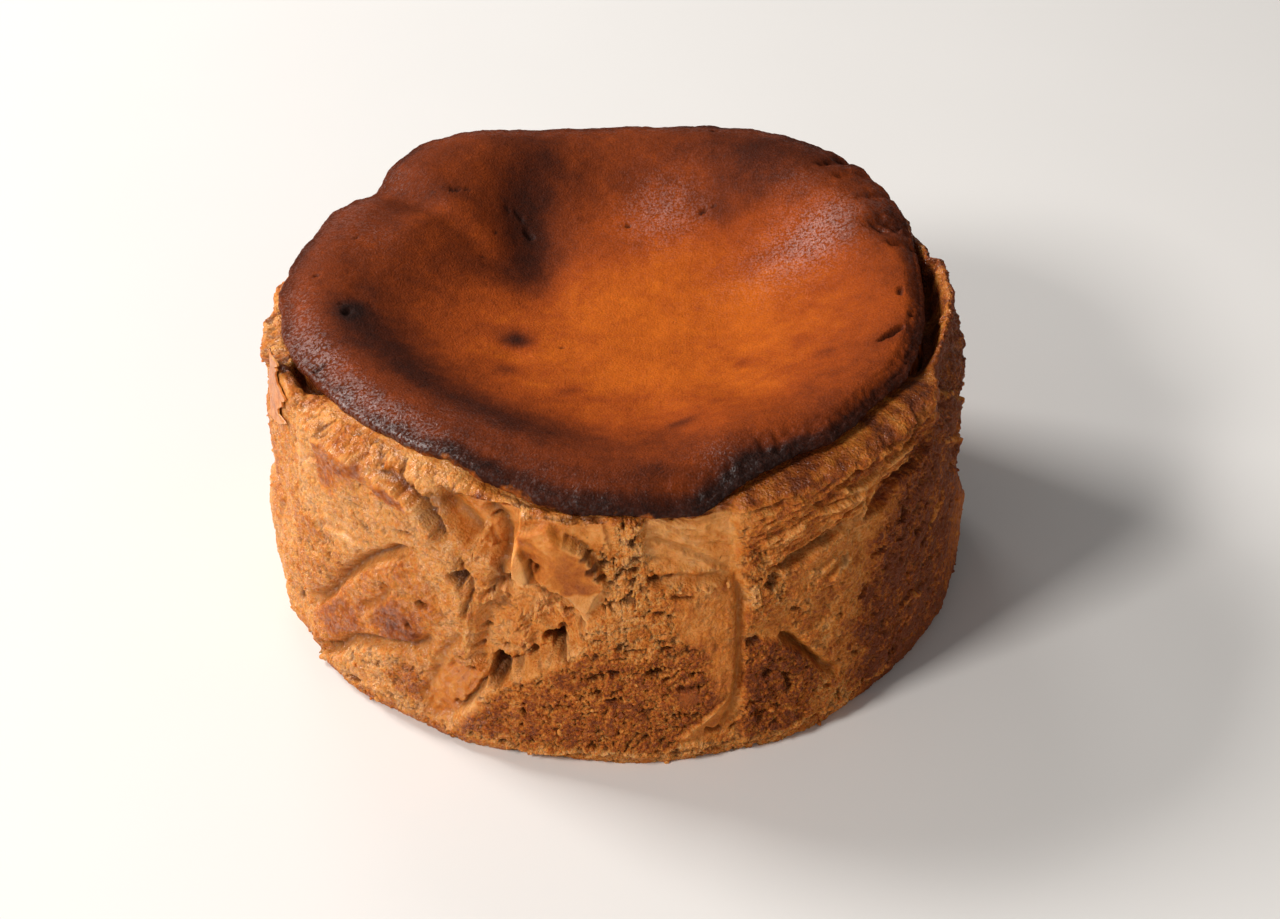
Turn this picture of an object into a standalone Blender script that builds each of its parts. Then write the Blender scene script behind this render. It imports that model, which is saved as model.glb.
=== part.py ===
"""Small basque cheesecake, baked in crumpled paper, as one solid.

The cake is a turned blank: a flat foot, a barrelled side, a shoulder and a crust whose rolled
lip stands over the shoulder. The blank's vertices are then moved, the way a sculptor would, by
what the paper and the oven did to the real one: the lip reaches further out in some directions
than in others, the top sinks to a dish with a hump and valleys, and the side carries pads,
hollows, creases and torn holes. The side nobody sees carries folds of the same kind.

Azimuth is in degrees, 0 at the front (-Y) and growing towards +X. Lengths in the tables are in
millimetres. The finished model is in metres, +Z up, with its origin at the middle of its foot.
"""
import bpy
import numpy as np

MM = 0.001
NAME = "cheesecake"

# Driving dimensions, in millimetres.
SIDE_RADIUS = 60.0       # at the widest height
WIDEST_HEIGHT = 26.0
BARREL = 0.6             # how much narrower the side is at the foot and at the shoulder
FOOT_ROUND = 0.9         # rounding of the foot, in radius
FOOT_ROUND_HEIGHT = 3.5
FOOT_FLAT = 0.1          # what lies lower than this is pressed flat
DISH_HEIGHT = 47.8       # the middle of the sunken top
DISH_POWER = 3.3         # how flat the dish is before it climbs to its rim
LIP_THICKNESS = 1.8      # of the crust at its edge
THICK_LIP = 1.0          # how much thicker it is in front
LIP_ROLL = 8.5           # from the tip of the lip in to the crest of the rim
STEEP_ROLL = 3.5         # the same on the right, where the edge is steep
LIP_RAGGED = 0.45        # unevenness of the lip's edge
CRUMB_SIZE = 4.0         # of the lumps on the side
CRUMB_HEIGHT = 0.55

# Azimuths where a change of the lip begins, is full, begins to fade and ends.
THICK_EDGE = (-38.0, -28.0, -4.0, 8.0)
STEEP_EDGE = (22.0, 48.0, 92.0, 118.0)

# Where the foot stands out or draws in: azimuth, spread in azimuth, how far out.
FOOT_FORMS = ((32, 14, 1.2), (57, 9, -1.2), (-36, 8, -0.9))

# The blank: rings along its profile, and steps round it.
FOOT_RINGS = 4
SIDE_RINGS = 56
SHOULDER_RINGS = 8
LIP_RINGS = 14
DISH_RINGS = 32
STEPS = 330
BLANK_CORNERS = ((0, 0), (58, 0), (60, 49), (55, 49), (52, 56), (0, 48))
TRIANGLES = 11600        # of the finished solid

# The rim, read round the cake: azimuth, reach of the lip, height of its underside, height of
# the crest behind it, and height of the side's upper edge.
RIM = (
    (-172, 58.0, 54.0, 57.2, 50.5),
    (-163, 58.4, 54.8, 58.2, 50.5),
    (-155, 59.4, 55.9, 59.4, 51.0),
    (-144, 59.6, 56.0, 59.6, 51.0),
    (-137, 59.0, 54.8, 58.6, 50.5),
    (-131, 56.9, 52.6, 55.6, 49.5),
    (-124, 57.4, 53.4, 56.6, 49.8),
    (-109, 57.2, 53.2, 57.0, 50.3),
    (-92, 57.2, 52.5, 56.8, 50.5),
    (-76, 56.6, 52.2, 56.6, 50.8),
    (-70, 56.0, 52.2, 56.5, 53.4),
    (-65, 55.4, 52.4, 56.4, 53.2),
    (-60, 55.2, 52.8, 56.3, 50.8),
    (-50, 55.4, 53.2, 56.2, 50.9),
    (-38, 55.2, 53.2, 56.0, 50.3),
    (-27, 55.4, 52.7, 55.8, 49.6),
    (-17, 56.8, 50.8, 55.2, 49.0),
    (-9, 58.7, 49.9, 54.8, 48.6),
    (2, 59.1, 49.8, 54.6, 48.4),
    (13, 59.4, 49.0, 54.8, 48.0),
    (20, 57.4, 51.3, 55.6, 48.6),
    (30, 55.4, 52.4, 56.0, 49.6),
    (40, 55.8, 52.8, 56.2, 50.2),
    (50, 54.4, 53.0, 56.4, 50.6),
    (60, 54.6, 53.2, 56.5, 51.2),
    (72, 53.6, 53.2, 56.6, 52.4),
    (86, 52.8, 53.0, 56.6, 53.4),
    (100, 53.6, 53.4, 57.2, 53.8),
    (112, 55.8, 54.2, 58.0, 52.4),
    (122, 58.0, 54.6, 58.6, 51.0),
    (133, 59.2, 55.6, 59.2, 50.8),
    (146, 59.2, 55.8, 59.4, 51.0),
    (158, 59.0, 55.2, 58.8, 51.0),
    (170, 58.2, 54.2, 57.6, 50.6),
)

# Gaps where the baked skin of the side has parted from the crust: azimuth, spread in azimuth,
# how far the gap goes down, and how much nearer to the skin its floor lies.
GAPS = (
    (89.0, 22.0, 6.5, 2.2),
    (-67.5, 5.0, 2.5, 0.8),
)
GROOVE_DEPTH = 0.5       # everywhere else, below the lip's underside
GROOVE_REACH = 2.0       # how far in from the tip of the lip the groove goes

# Plates of the side: how far out each stands, how soft its edge is, and its corners as
# azimuth and height. Hollows stand out by less than nothing.
PADS = {
    "front low pad": (0.9, 0.9, (
        (-31, 1), (-25, 8), (-20, 16.5), (-10, 21.5), (-6, 27), (-1, 33), (5, 37.5),
        (15, 37), (14.5, 24), (12.5, 12), (9, 5), (14, 3), (16, -2), (-31, -2))),
    "right low pad": (0.8, 0.8, (
        (19, -2), (19.2, 24), (22, 23.5), (26, 21.5), (30, 17), (34, 12), (38, 9), (39, -2))),
    "right tan pad": (0.5, 1.0, (
        (27.5, 24), (27, 31), (42, 31), (44, 10), (38, 10.5), (34, 13.5), (30, 19))),
    "right column": (0.7, 0.9, (
        (19.5, 26), (19.3, 45), (22, 48), (27, 47), (26.5, 38), (26, 27))),
    "right far pad": (0.7, 1.4, (
        (44, 34), (62, 37), (70, 22), (68, 5), (46, 5), (45, 14))),
    "left high pad": (0.9, 1.0, (
        (-60, 50.5), (-54, 51.5), (-38, 49.5), (-30, 48), (-28, 43), (-24, 39), (-24, 28),
        (-27, 25), (-33, 36.5), (-44, 31.5), (-52, 24), (-62, 22))),
    "left middle pad": (0.9, 1.0, (
        (-58, 18), (-52, 22.5), (-45, 30), (-34, 36), (-28, 25), (-31, 21.5), (-38, 16.5),
        (-45, 15), (-58, 8))),
    "left low pad": (0.7, 1.0, (
        (-60, 4), (-50, 9), (-45, 12.5), (-38, 13), (-34, 6), (-33, -2), (-60, -2))),
    "slab": (1.7, 0.7, (
        (-15, 46.5), (-10, 48), (-7.5, 46), (-5, 44.5), (-3, 42), (-2, 38), (-4.5, 33),
        (-8.5, 36.5), (-15, 40))),
    "finger": (1.9, 0.5, ((-16, 45), (-14.3, 44.5), (-12.3, 36.5), (-14.2, 35.5))),
    "torn cave": (-2.8, 1.0, (
        (-24, 19), (-21, 33), (-16, 38), (-8, 37), (-5.5, 31), (-7, 25.5), (-11, 21.5),
        (-19, 15.5))),
    "upper hollow": (-2.8, 0.8, ((-29, 50), (-27.5, 45.5), (-23, 41.5), (-16, 40), (-15, 50))),
    "streaked hollow": (-1.3, 1.2, ((4, 50), (5, 41), (15, 38.5), (18, 36.5), (19.3, 50))),
    "low wedge": (-1.0, 0.7, ((-33, 4), (-28, 5), (-23, 11.5), (-21, 16), (-27, 17), (-31, 14))),
    "right layer": (0.8, 0.9, ((27, 40.5), (38, 41), (44, 45), (52, 47), (60, 52), (27, 51))),
    "right hollow": (-2.0, 0.9, ((42, 38.5), (47, 38.5), (52, 41), (60, 42), (60, 50), (48, 46))),
    "far right skin": (0.3, 1.5, ((64, 46), (63, 42), (72, 34), (100, 36), (112, 46))),
    "far right brim": (-2.4, 4.0, ((66, 60), (66, 46), (116, 46), (116, 60))),
    "far right bulge": (1.0, 4.0, ((68, 1), (68, 20), (112, 20), (112, 1))),
    "far left bulge": (1.2, 4.0, ((-106, 1), (-106, 18), (-68, 18), (-68, 1))),
    "left flap": (0.3, 0.8, ((-73, 54), (-71, 46), (-66, 44), (-64, 54))),
}

# Creases: width, depth, and the points each one runs through, as azimuth and height.
CREASES = (
    (1.0, 1.2, ((-62, 15.5), (-56, 20), (-52, 25), (-48, 29.5), (-44, 33), (-40, 35), (-33, 38))),
    (0.9, 0.8, ((-46, 20), (-40, 25), (-38, 29))),
    (1.0, 1.2, ((-60, 4.5), (-50, 10.5), (-45, 14), (-38, 15), (-33, 18), (-31, 21))),
    (0.9, 1.0, ((-34, 6), (-31, 14), (-28, 20), (-25, 24))),
    (0.9, 1.4, ((18.2, 38), (18.5, 25), (18.5, 16), (17.5, 10), (16, 5))),
    (0.8, 1.5, ((25.5, 22.8), (28, 20.5), (30, 17.5), (34, 12.5), (37, 10))),
    (0.9, 1.3, ((4.5, 38.6), (9, 38), (15, 37.5), (18, 36))),
    (0.8, 1.3, ((24.5, 36.3), (30, 37.5), (34, 38.8), (38.5, 40))),
    (0.7, 1.0, ((36, 42.2), (41, 43.2))),
    (0.9, 1.0, ((-30, 49.8), (-27, 46.5), (-23, 43.5), (-18, 40.2))),
)

# Holes torn in the side: azimuth, height, half width, half height, depth.
HOLES = (
    (-10.0, 26.8, 1.7, 1.6, 4.8),
    (-19.0, 19.6, 1.3, 2.0, 4.2),
    (-24.0, 36.5, 1.0, 1.0, 1.8),
    (50.0, 35.0, 1.1, 1.0, 1.6),
    (47.0, 6.5, 1.2, 1.0, 1.6),
)

# Swellings and valleys of the top: x, y, half length, half width, turn in degrees, height.
TOP_FORMS = (
    (-33, 21, 14, 12, 20, 2.8),      # hump at the rear left
    (-14, 25, 17, 7, 100, -2.0),     # valley on its right
    (-35, 37, 9, 3, -15, -1.0),      # valley that runs in from the notch
    (-28, 46, 11, 5, -25, 0.6),      # lobe behind the notch
    (21, -46, 5, 4, 30, 1.1),        # bump by the front edge
    (-17, -9, 3, 3, 0, -0.6),
    (-45, 0, 4, 2.6, 80, -0.8),
    (14, 22, 16, 12, 0, 1.0),
    (32, -8, 10, 14, 0, 0.6),
)

# Folds of the side that isn't seen in front.
HIDDEN_FROM = 62.0       # azimuth on either side where they begin
HIDDEN_FULL = 80.0
FOLD_COUNT = 46
FOLD_HEIGHT = 0.8
FOLD_SLOPE = 0.07
FOLD_CREASE_WIDTH = 1.5
FOLD_CREASE_DEPTH = 1.1
SEED = 7


def smooth_step(low, high, value):
    """0 below low, 1 above high, and a smooth climb between."""
    share = np.clip((value - low) / (high - low), 0.0, 1.0)
    return share * share * (3.0 - 2.0 * share)


def between(azimuth, start, full, fall, end):
    """1 from azimuth full to fall, and smoothly to 0 at start and end."""
    return smooth_step(start, full, azimuth) * smooth_step(end, fall, azimuth)


def lumps(x, y, z, size, seed):
    """Rounded lumps of one size, between -1 and 1, from values on a grid of corners."""
    places = np.stack(np.broadcast_arrays(x, y, z)) / size
    corner = np.floor(places).astype(np.int64)
    share = smooth_step(0.0, 1.0, places - corner)
    total = np.zeros(places.shape[1:])
    for step in np.ndindex(2, 2, 2):
        key = seed * 7919
        weight = np.ones(places.shape[1:])
        for axis, prime in enumerate((73856093, 19349663, 83492791)):
            key = key ^ ((corner[axis] + step[axis]) * prime)
            weight = weight * (share[axis] if step[axis] else 1.0 - share[axis])
        key = (key ^ (key >> 13)) * 1274126177
        total += weight * (((key ^ (key >> 16)) & 0xFFFF) / 32767.5 - 1.0)
    return total


def on_side(azimuth, height):
    """Azimuth and height as lengths on the unrolled side, in millimetres."""
    return np.radians(np.asarray(azimuth, float)) * SIDE_RADIUS, np.asarray(height, float)


def around(azimuth, radius):
    """x and y of a place given by azimuth and radius."""
    turn = np.radians(azimuth)
    return radius * np.sin(turn), -radius * np.cos(turn)


def rim_value(azimuth, column):
    """One column of RIM at any azimuth, on a smooth curve that closes round the cake."""
    rows = np.array(RIM)
    turns = np.concatenate([rows[:, 0] - 360.0, rows[:, 0], rows[:, 0] + 360.0])
    values = np.tile(rows[:, column], 3)
    slopes = np.gradient(values, turns)
    index = np.clip(np.searchsorted(turns, azimuth) - 1, 0, len(turns) - 2)
    step = turns[index + 1] - turns[index]
    share = (azimuth - turns[index]) / step
    climb = smooth_step(0.0, 1.0, share)
    leave = step * slopes[index] * share * (1.0 - share) ** 2
    arrive = step * slopes[index + 1] * (share - 1.0) * share ** 2
    return values[index] + (values[index + 1] - values[index]) * climb + leave + arrive


def distance_to_line(across, up, points):
    """Distance from each place to a line through points on the unrolled side."""
    line_x, line_z = on_side(*zip(*points))
    nearest = np.full(np.shape(across), np.inf)
    for x0, z0, x1, z1 in zip(line_x, line_z, line_x[1:], line_z[1:]):
        run, rise = x1 - x0, z1 - z0
        share = ((across - x0) * run + (up - z0) * rise) / (run * run + rise * rise)
        share = np.clip(share, 0.0, 1.0)
        nearest = np.minimum(nearest, np.hypot(across - x0 - share * run, up - z0 - share * rise))
    return nearest


def inside_outline(across, up, corners):
    """Distance in from a closed outline on the unrolled side, negative outside it."""
    distance = distance_to_line(across, up, corners + corners[:1])
    line_x, line_z = on_side(*zip(*corners))
    odd = np.zeros(np.shape(across), bool)
    for x0, z0, x1, z1 in zip(line_x, line_z, np.roll(line_x, -1), np.roll(line_z, -1)):
        if z0 == z1:
            continue
        spans = (z0 > up) != (z1 > up)
        odd ^= spans & (across < x0 + (up - z0) / (z1 - z0) * (x1 - x0))
    return np.where(odd, distance, -distance)


def hidden_folds(azimuth, height):
    """Facets and creases where the paper crumpled, out of sight of the front."""
    draw = np.random.default_rng(SEED)
    fold_azimuths = draw.uniform(-180, 180, FOLD_COUNT)
    fold_heights = draw.uniform(0, 52, FOLD_COUNT)
    lifts = draw.uniform(-FOLD_HEIGHT, FOLD_HEIGHT, FOLD_COUNT)
    slopes = draw.uniform(-FOLD_SLOPE, FOLD_SLOPE, (FOLD_COUNT, 2))
    turn = (azimuth[:, None] - fold_azimuths + 180.0) % 360.0 - 180.0
    away_x, away_z = on_side(turn, height[:, None] - fold_heights)
    distances = np.hypot(away_x, 1.25 * away_z)
    facets = lifts + slopes[:, 0] * away_x + slopes[:, 1] * away_z
    order = np.argsort(distances, axis=1)
    first, second = np.take_along_axis(distances, order[:, :2], 1).T
    level = np.take_along_axis(facets, order[:, :1], 1)[:, 0]
    border = np.exp(-(((second - first) / FOLD_CREASE_WIDTH) ** 2))
    shown = smooth_step(HIDDEN_FROM, HIDDEN_FULL, np.abs(azimuth))
    return shown * (level * (1.0 - border) - FOLD_CREASE_DEPTH * border)


def crumb(azimuth, height):
    """Lumpy crumb of the side, coarse and half as coarse."""
    x, y = around(azimuth, SIDE_RADIUS)
    coarse = lumps(x, y, height, CRUMB_SIZE, SEED)
    return CRUMB_HEIGHT * (coarse + 0.5 * lumps(x, y, height, CRUMB_SIZE / 2.0, SEED + 1))


def side_relief(azimuth, height):
    """How far the skin of the side stands out of its plain barrel."""
    across, up = on_side(azimuth, height)
    relief = 0.5 * np.sin(np.radians(3 * azimuth + 40)) * np.sin(height / 14.0)
    rough = np.full(np.shape(relief), 0.6)
    for lift, soft, corners in PADS.values():
        cover = smooth_step(-soft, soft, inside_outline(across, up, corners))
        relief = relief + lift * cover
        rough = rough + 0.4 * np.sign(lift) * cover
    for width, depth, points in CREASES:
        relief = relief - depth * np.exp(-((distance_to_line(across, up, points) / width) ** 2))
    for hole_azimuth, hole_height, half_width, half_height, depth in HOLES:
        hole_x, hole_z = on_side(hole_azimuth, hole_height)
        reach = np.hypot((across - hole_x) / half_width, (up - hole_z) / half_height)
        relief = relief - depth * smooth_step(1.35, 0.55, reach)
    return relief + rough * crumb(azimuth, height) + hidden_folds(azimuth, height)


def side_radius(azimuth, height):
    """Radius of the side: barrel, rounded foot and relief, which fades out at the foot."""
    barrel = SIDE_RADIUS - BARREL * ((height - WIDEST_HEIGHT) / WIDEST_HEIGHT) ** 2
    rounding = FOOT_ROUND * np.clip(1.0 - height / FOOT_ROUND_HEIGHT, 0.0, 1.0) ** 2
    wobble = 0.5 * np.sin(np.radians(7 * azimuth)) + 0.35 * np.sin(np.radians(13 * azimuth + 70))
    for form_azimuth, spread, out in FOOT_FORMS:
        wobble = wobble + out * np.exp(-(((azimuth - form_azimuth) / spread) ** 2))
    near_foot = np.exp(-height / 3.0)
    kept = smooth_step(0.0, 3.0, height)
    return barrel - rounding + wobble * near_foot + kept * side_relief(azimuth, height)


def foot(share, azimuth):
    """The flat underside."""
    return share * side_radius(azimuth, np.zeros_like(azimuth)), np.zeros_like(azimuth)


def side(share, azimuth):
    """The standing side, from the foot to its upper edge."""
    height = share * rim_value(azimuth, 4)
    return side_radius(azimuth, height), height


def gap_value(azimuth, column):
    """How deep the gaps go, or how near to the skin their floor lies, at any azimuth."""
    return sum(gap[column] * np.exp(-(((azimuth - gap[0]) / gap[1]) ** 4)) for gap in GAPS)


def lip_reach(azimuth):
    """Radius of the lip's ragged tip."""
    x, y = around(azimuth, SIDE_RADIUS)
    return rim_value(azimuth, 1) + LIP_RAGGED * lumps(x, y, 0.0, 3.0, SEED + 2)


def lip_thickness(azimuth):
    """Of the crust at its edge."""
    return LIP_THICKNESS + THICK_LIP * between(azimuth, *THICK_EDGE)


def crest_radius(azimuth):
    """Radius of the crest of the rim."""
    roll = LIP_ROLL + (STEEP_ROLL - LIP_ROLL) * between(azimuth, *STEEP_EDGE)
    return rim_value(azimuth, 1) - roll


def groove(azimuth):
    """Radius and height of the deepest line under the lip, or in a gap."""
    radius = lip_reach(azimuth) - GROOVE_REACH + gap_value(azimuth, 3)
    return radius, rim_value(azimuth, 2) - GROOVE_DEPTH - gap_value(azimuth, 2)


def shoulder(share, azimuth):
    """From the side's upper edge, over it and in to the groove."""
    edge_radius, edge = side(np.ones_like(azimuth), azimuth)
    groove_radius, floor = groove(azimuth)
    gaping = np.clip(gap_value(azimuth, 2) / 2.5, 0.0, 1.0)
    change = share + (smooth_step(0.15, 0.75, share) - share) * gaping
    rounded = 0.6 * np.sin(np.pi * share) * smooth_step(1.0, 0.5, share)
    return edge_radius + (groove_radius - edge_radius) * share, edge + (floor - edge) * change + rounded


def lip(share, azimuth):
    """From the groove out along the crust's underside, round its tip and up to the crest."""
    groove_radius, floor = groove(azimuth)
    reach, under, crest = lip_reach(azimuth), rim_value(azimuth, 2), rim_value(azimuth, 3)
    nose = 0.5 * lip_thickness(azimuth)
    out = smooth_step(0.0, 0.25, share)
    bend = np.clip((share - 0.25) / 0.25, 0.0, 1.0) * np.pi
    climb = np.clip((share - 0.5) / 0.5, 0.0, 1.0)
    radius = groove_radius + (reach - nose - groove_radius) * out + nose * np.sin(bend)
    height = floor + (under - floor) * out + nose * (1.0 - np.cos(bend))
    rise = crest - under - 2.0 * nose
    roll = reach - nose - crest_radius(azimuth)
    return radius - roll * climb, height + rise * np.sin(0.5 * np.pi * climb)


def top_forms(x, y):
    """Swellings and valleys of the top."""
    height = np.zeros_like(x)
    for form_x, form_y, half_length, half_width, turn, lift in TOP_FORMS:
        cosine, sine = np.cos(np.radians(turn)), np.sin(np.radians(turn))
        along = (x - form_x) * cosine + (y - form_y) * sine
        aside = (y - form_y) * cosine - (x - form_x) * sine
        height += lift * np.exp(-((along / half_length) ** 2 + (aside / half_width) ** 2))
    return height


def dish(share, azimuth):
    """The sunken top, from the crest of the rim in to its middle."""
    out = 1.0 - share
    radius = out * crest_radius(azimuth)
    rise = rim_value(azimuth, 3) - DISH_HEIGHT
    bowl = DISH_HEIGHT + rise * np.sin(0.5 * np.pi * out ** DISH_POWER)
    calm = 1.0 - smooth_step(0.8, 1.0, out)
    return radius, bowl + calm * top_forms(*around(azimuth, radius))


# The stretches of the profile, from the middle of the foot to the middle of the top.
STRETCHES = (
    (foot, FOOT_RINGS), (side, SIDE_RINGS), (shoulder, SHOULDER_RINGS), (lip, LIP_RINGS),
    (dish, DISH_RINGS),
)


def turned_blank():
    """The plain blank, with each vertex's place along the profile kept as an attribute."""
    places = np.concatenate([number + np.arange(rings) / rings
                             for number, (_, rings) in enumerate(STRETCHES)] + [[len(STRETCHES)]])
    radius, height = (np.interp(places, range(len(BLANK_CORNERS)), column)
                      for column in zip(*BLANK_CORNERS))
    downwards = list(zip(radius * MM, height * MM, places))[::-1]
    mesh = bpy.data.meshes.new("blank_profile")
    points = [(r, 0.0, z) for r, z, _ in downwards]
    mesh.from_pydata(points, [(i, i + 1) for i in range(len(points) - 1)], [])
    kept_place = mesh.attributes.new("place", "FLOAT", "POINT")
    kept_place.data.foreach_set("value", [place for _, _, place in downwards])
    profile = bpy.data.objects.new("blank_profile", mesh)
    bpy.context.scene.collection.objects.link(profile)
    screw = profile.modifiers.new("turn", "SCREW")
    screw.axis = "Z"
    screw.steps = STEPS
    screw.render_steps = STEPS
    screw.use_merge_vertices = True
    screw.merge_threshold = 0.00001
    evaluated = profile.evaluated_get(bpy.context.evaluated_depsgraph_get())
    turned = bpy.data.meshes.new_from_object(evaluated)
    bpy.data.objects.remove(profile)
    return turned


def shape_cake(mesh):
    """Move every vertex of the blank to its place on the baked cake, centred on its box."""
    count = len(mesh.vertices)
    flat = np.empty(count * 3)
    mesh.vertices.foreach_get("co", flat)
    place = np.empty(count)
    mesh.attributes["place"].data.foreach_get("value", place)
    azimuth = np.degrees(np.arctan2(flat[0::3], -flat[1::3]))
    stretch = np.clip(place.astype(int), 0, len(STRETCHES) - 1)
    radius, height = np.zeros(count), np.zeros(count)
    for number, (form, _) in enumerate(STRETCHES):
        chosen = stretch == number
        radius[chosen], height[chosen] = form(place[chosen] - number, azimuth[chosen])
    shaped = np.stack([*around(azimuth, radius), height], 1)
    shaped[:, :2] -= (shaped.min(axis=0) + shaped.max(axis=0))[:2] / 2.0
    mesh.vertices.foreach_set("co", (shaped * MM).ravel())
    mesh.attributes.remove(mesh.attributes["place"])
    mesh.update()


def baked_material():
    """Golden-brown baked cheesecake."""
    material = bpy.data.materials.new("baked_cheesecake")
    material.use_nodes = True
    shader = material.node_tree.nodes["Principled BSDF"]
    shader.inputs["Base Color"].default_value = (0.50, 0.21, 0.06, 1.0)
    shader.inputs["Roughness"].default_value = 0.55
    shader.inputs["Metallic"].default_value = 0.0
    return material


def thinned(mesh):
    """The mesh with only the triangles that its forms need, and its foot flat again."""
    cake = bpy.data.objects.new("full_cake", mesh)
    bpy.context.scene.collection.objects.link(cake)
    full = sum(len(face.vertices) - 2 for face in mesh.polygons)
    thin = cake.modifiers.new("thin", "DECIMATE")
    thin.ratio = TRIANGLES / full
    evaluated = cake.evaluated_get(bpy.context.evaluated_depsgraph_get())
    thin_mesh = bpy.data.meshes.new_from_object(evaluated)
    bpy.data.objects.remove(cake)
    for vertex in thin_mesh.vertices:
        if vertex.co.z < FOOT_FLAT * MM:
            vertex.co.z = 0.0
    return thin_mesh


def build_cheesecake(collection):
    """The cake: turned, shaped and thinned."""
    blank = turned_blank()
    shape_cake(blank)
    mesh = thinned(blank)
    mesh.name = NAME
    mesh.shade_smooth()
    mesh.materials.clear()
    mesh.materials.append(baked_material())
    cake = bpy.data.objects.new(NAME, mesh)
    collection.objects.link(cake)


def main():
    for old in list(bpy.data.objects):
        bpy.data.objects.remove(old)
    collection = bpy.data.collections.new("basque_cheesecake")
    bpy.context.scene.collection.children.link(collection)
    build_cheesecake(collection)


main()
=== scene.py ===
"""The looks of a small basque cheesecake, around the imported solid.

The baked side, the burnt crust, a flap of skin that lifts off the side, and the crumbs are fine
meshes that stand for the plain solid. They follow the forms of the solid: its rim, pads, creases,
holes and folds. Over these lie the crumb, the pores and the wrinkles of the bake.

Azimuth is in degrees, 0 at the front (-Y) and growing towards +X. Lengths are in millimetres
until a mesh is written, which is in metres.
"""

import bmesh
import bpy
import numpy as np
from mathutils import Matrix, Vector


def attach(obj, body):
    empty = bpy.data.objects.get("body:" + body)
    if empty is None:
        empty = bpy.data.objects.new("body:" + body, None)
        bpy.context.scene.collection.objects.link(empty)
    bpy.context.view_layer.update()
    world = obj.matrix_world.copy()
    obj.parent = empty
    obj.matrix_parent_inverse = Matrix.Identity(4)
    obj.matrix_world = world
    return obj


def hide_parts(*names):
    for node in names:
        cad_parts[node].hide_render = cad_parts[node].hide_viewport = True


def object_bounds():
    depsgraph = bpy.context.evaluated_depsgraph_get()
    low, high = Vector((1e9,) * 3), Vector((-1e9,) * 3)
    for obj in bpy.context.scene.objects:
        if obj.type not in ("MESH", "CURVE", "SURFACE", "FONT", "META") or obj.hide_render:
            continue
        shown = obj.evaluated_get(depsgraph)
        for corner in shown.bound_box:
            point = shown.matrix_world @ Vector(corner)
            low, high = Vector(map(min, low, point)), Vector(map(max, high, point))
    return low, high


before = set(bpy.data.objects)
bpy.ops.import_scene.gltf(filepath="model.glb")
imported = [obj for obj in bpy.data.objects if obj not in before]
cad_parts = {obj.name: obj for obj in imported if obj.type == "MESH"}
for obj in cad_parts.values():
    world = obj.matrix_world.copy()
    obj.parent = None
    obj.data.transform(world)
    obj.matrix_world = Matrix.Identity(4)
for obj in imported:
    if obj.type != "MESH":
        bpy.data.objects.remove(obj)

cad_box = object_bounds()

MM = 0.001
BODY = "root"
NODE = "cheesecake"
SEED = 7

# ---------------------------------------------------------------- forms that the solid has too

SIDE_RADIUS = 60.0       # at the widest height
WIDEST_HEIGHT = 26.0
BARREL = 0.6             # how much narrower the side is at the foot and at the shoulder
FOOT_ROUND = 0.9         # rounding of the foot, in radius
FOOT_ROUND_HEIGHT = 3.5
DISH_HEIGHT = 47.8       # the middle of the sunken top
DISH_POWER = 3.3         # how flat the dish is before it climbs to its rim
LIP_THICKNESS = 1.8      # of the crust at its edge
THICK_LIP = 1.0          # how much thicker it is in front
LIP_ROLL = 8.5           # from the tip of the lip in to the crest of the rim
STEEP_ROLL = 3.5         # the same on the right, where the edge is steep
LIP_RAGGED = 0.45        # unevenness of the lip's edge
CRUMB_SIZE = 4.0         # of the lumps on the side

# Azimuths where a change of the lip begins, is full, begins to fade and ends.
THICK_EDGE = (-38.0, -28.0, -4.0, 8.0)
STEEP_EDGE = (22.0, 48.0, 92.0, 118.0)
CALM_EDGE = (12.0, 25.0, 100.0, 120.0)           # where the lip's edge is more even

# Where the foot stands out or draws in: azimuth, spread in azimuth, how far out.
FOOT_FORMS = ((32, 14, 1.2), (57, 9, -1.2), (-36, 8, -0.9))

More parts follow.
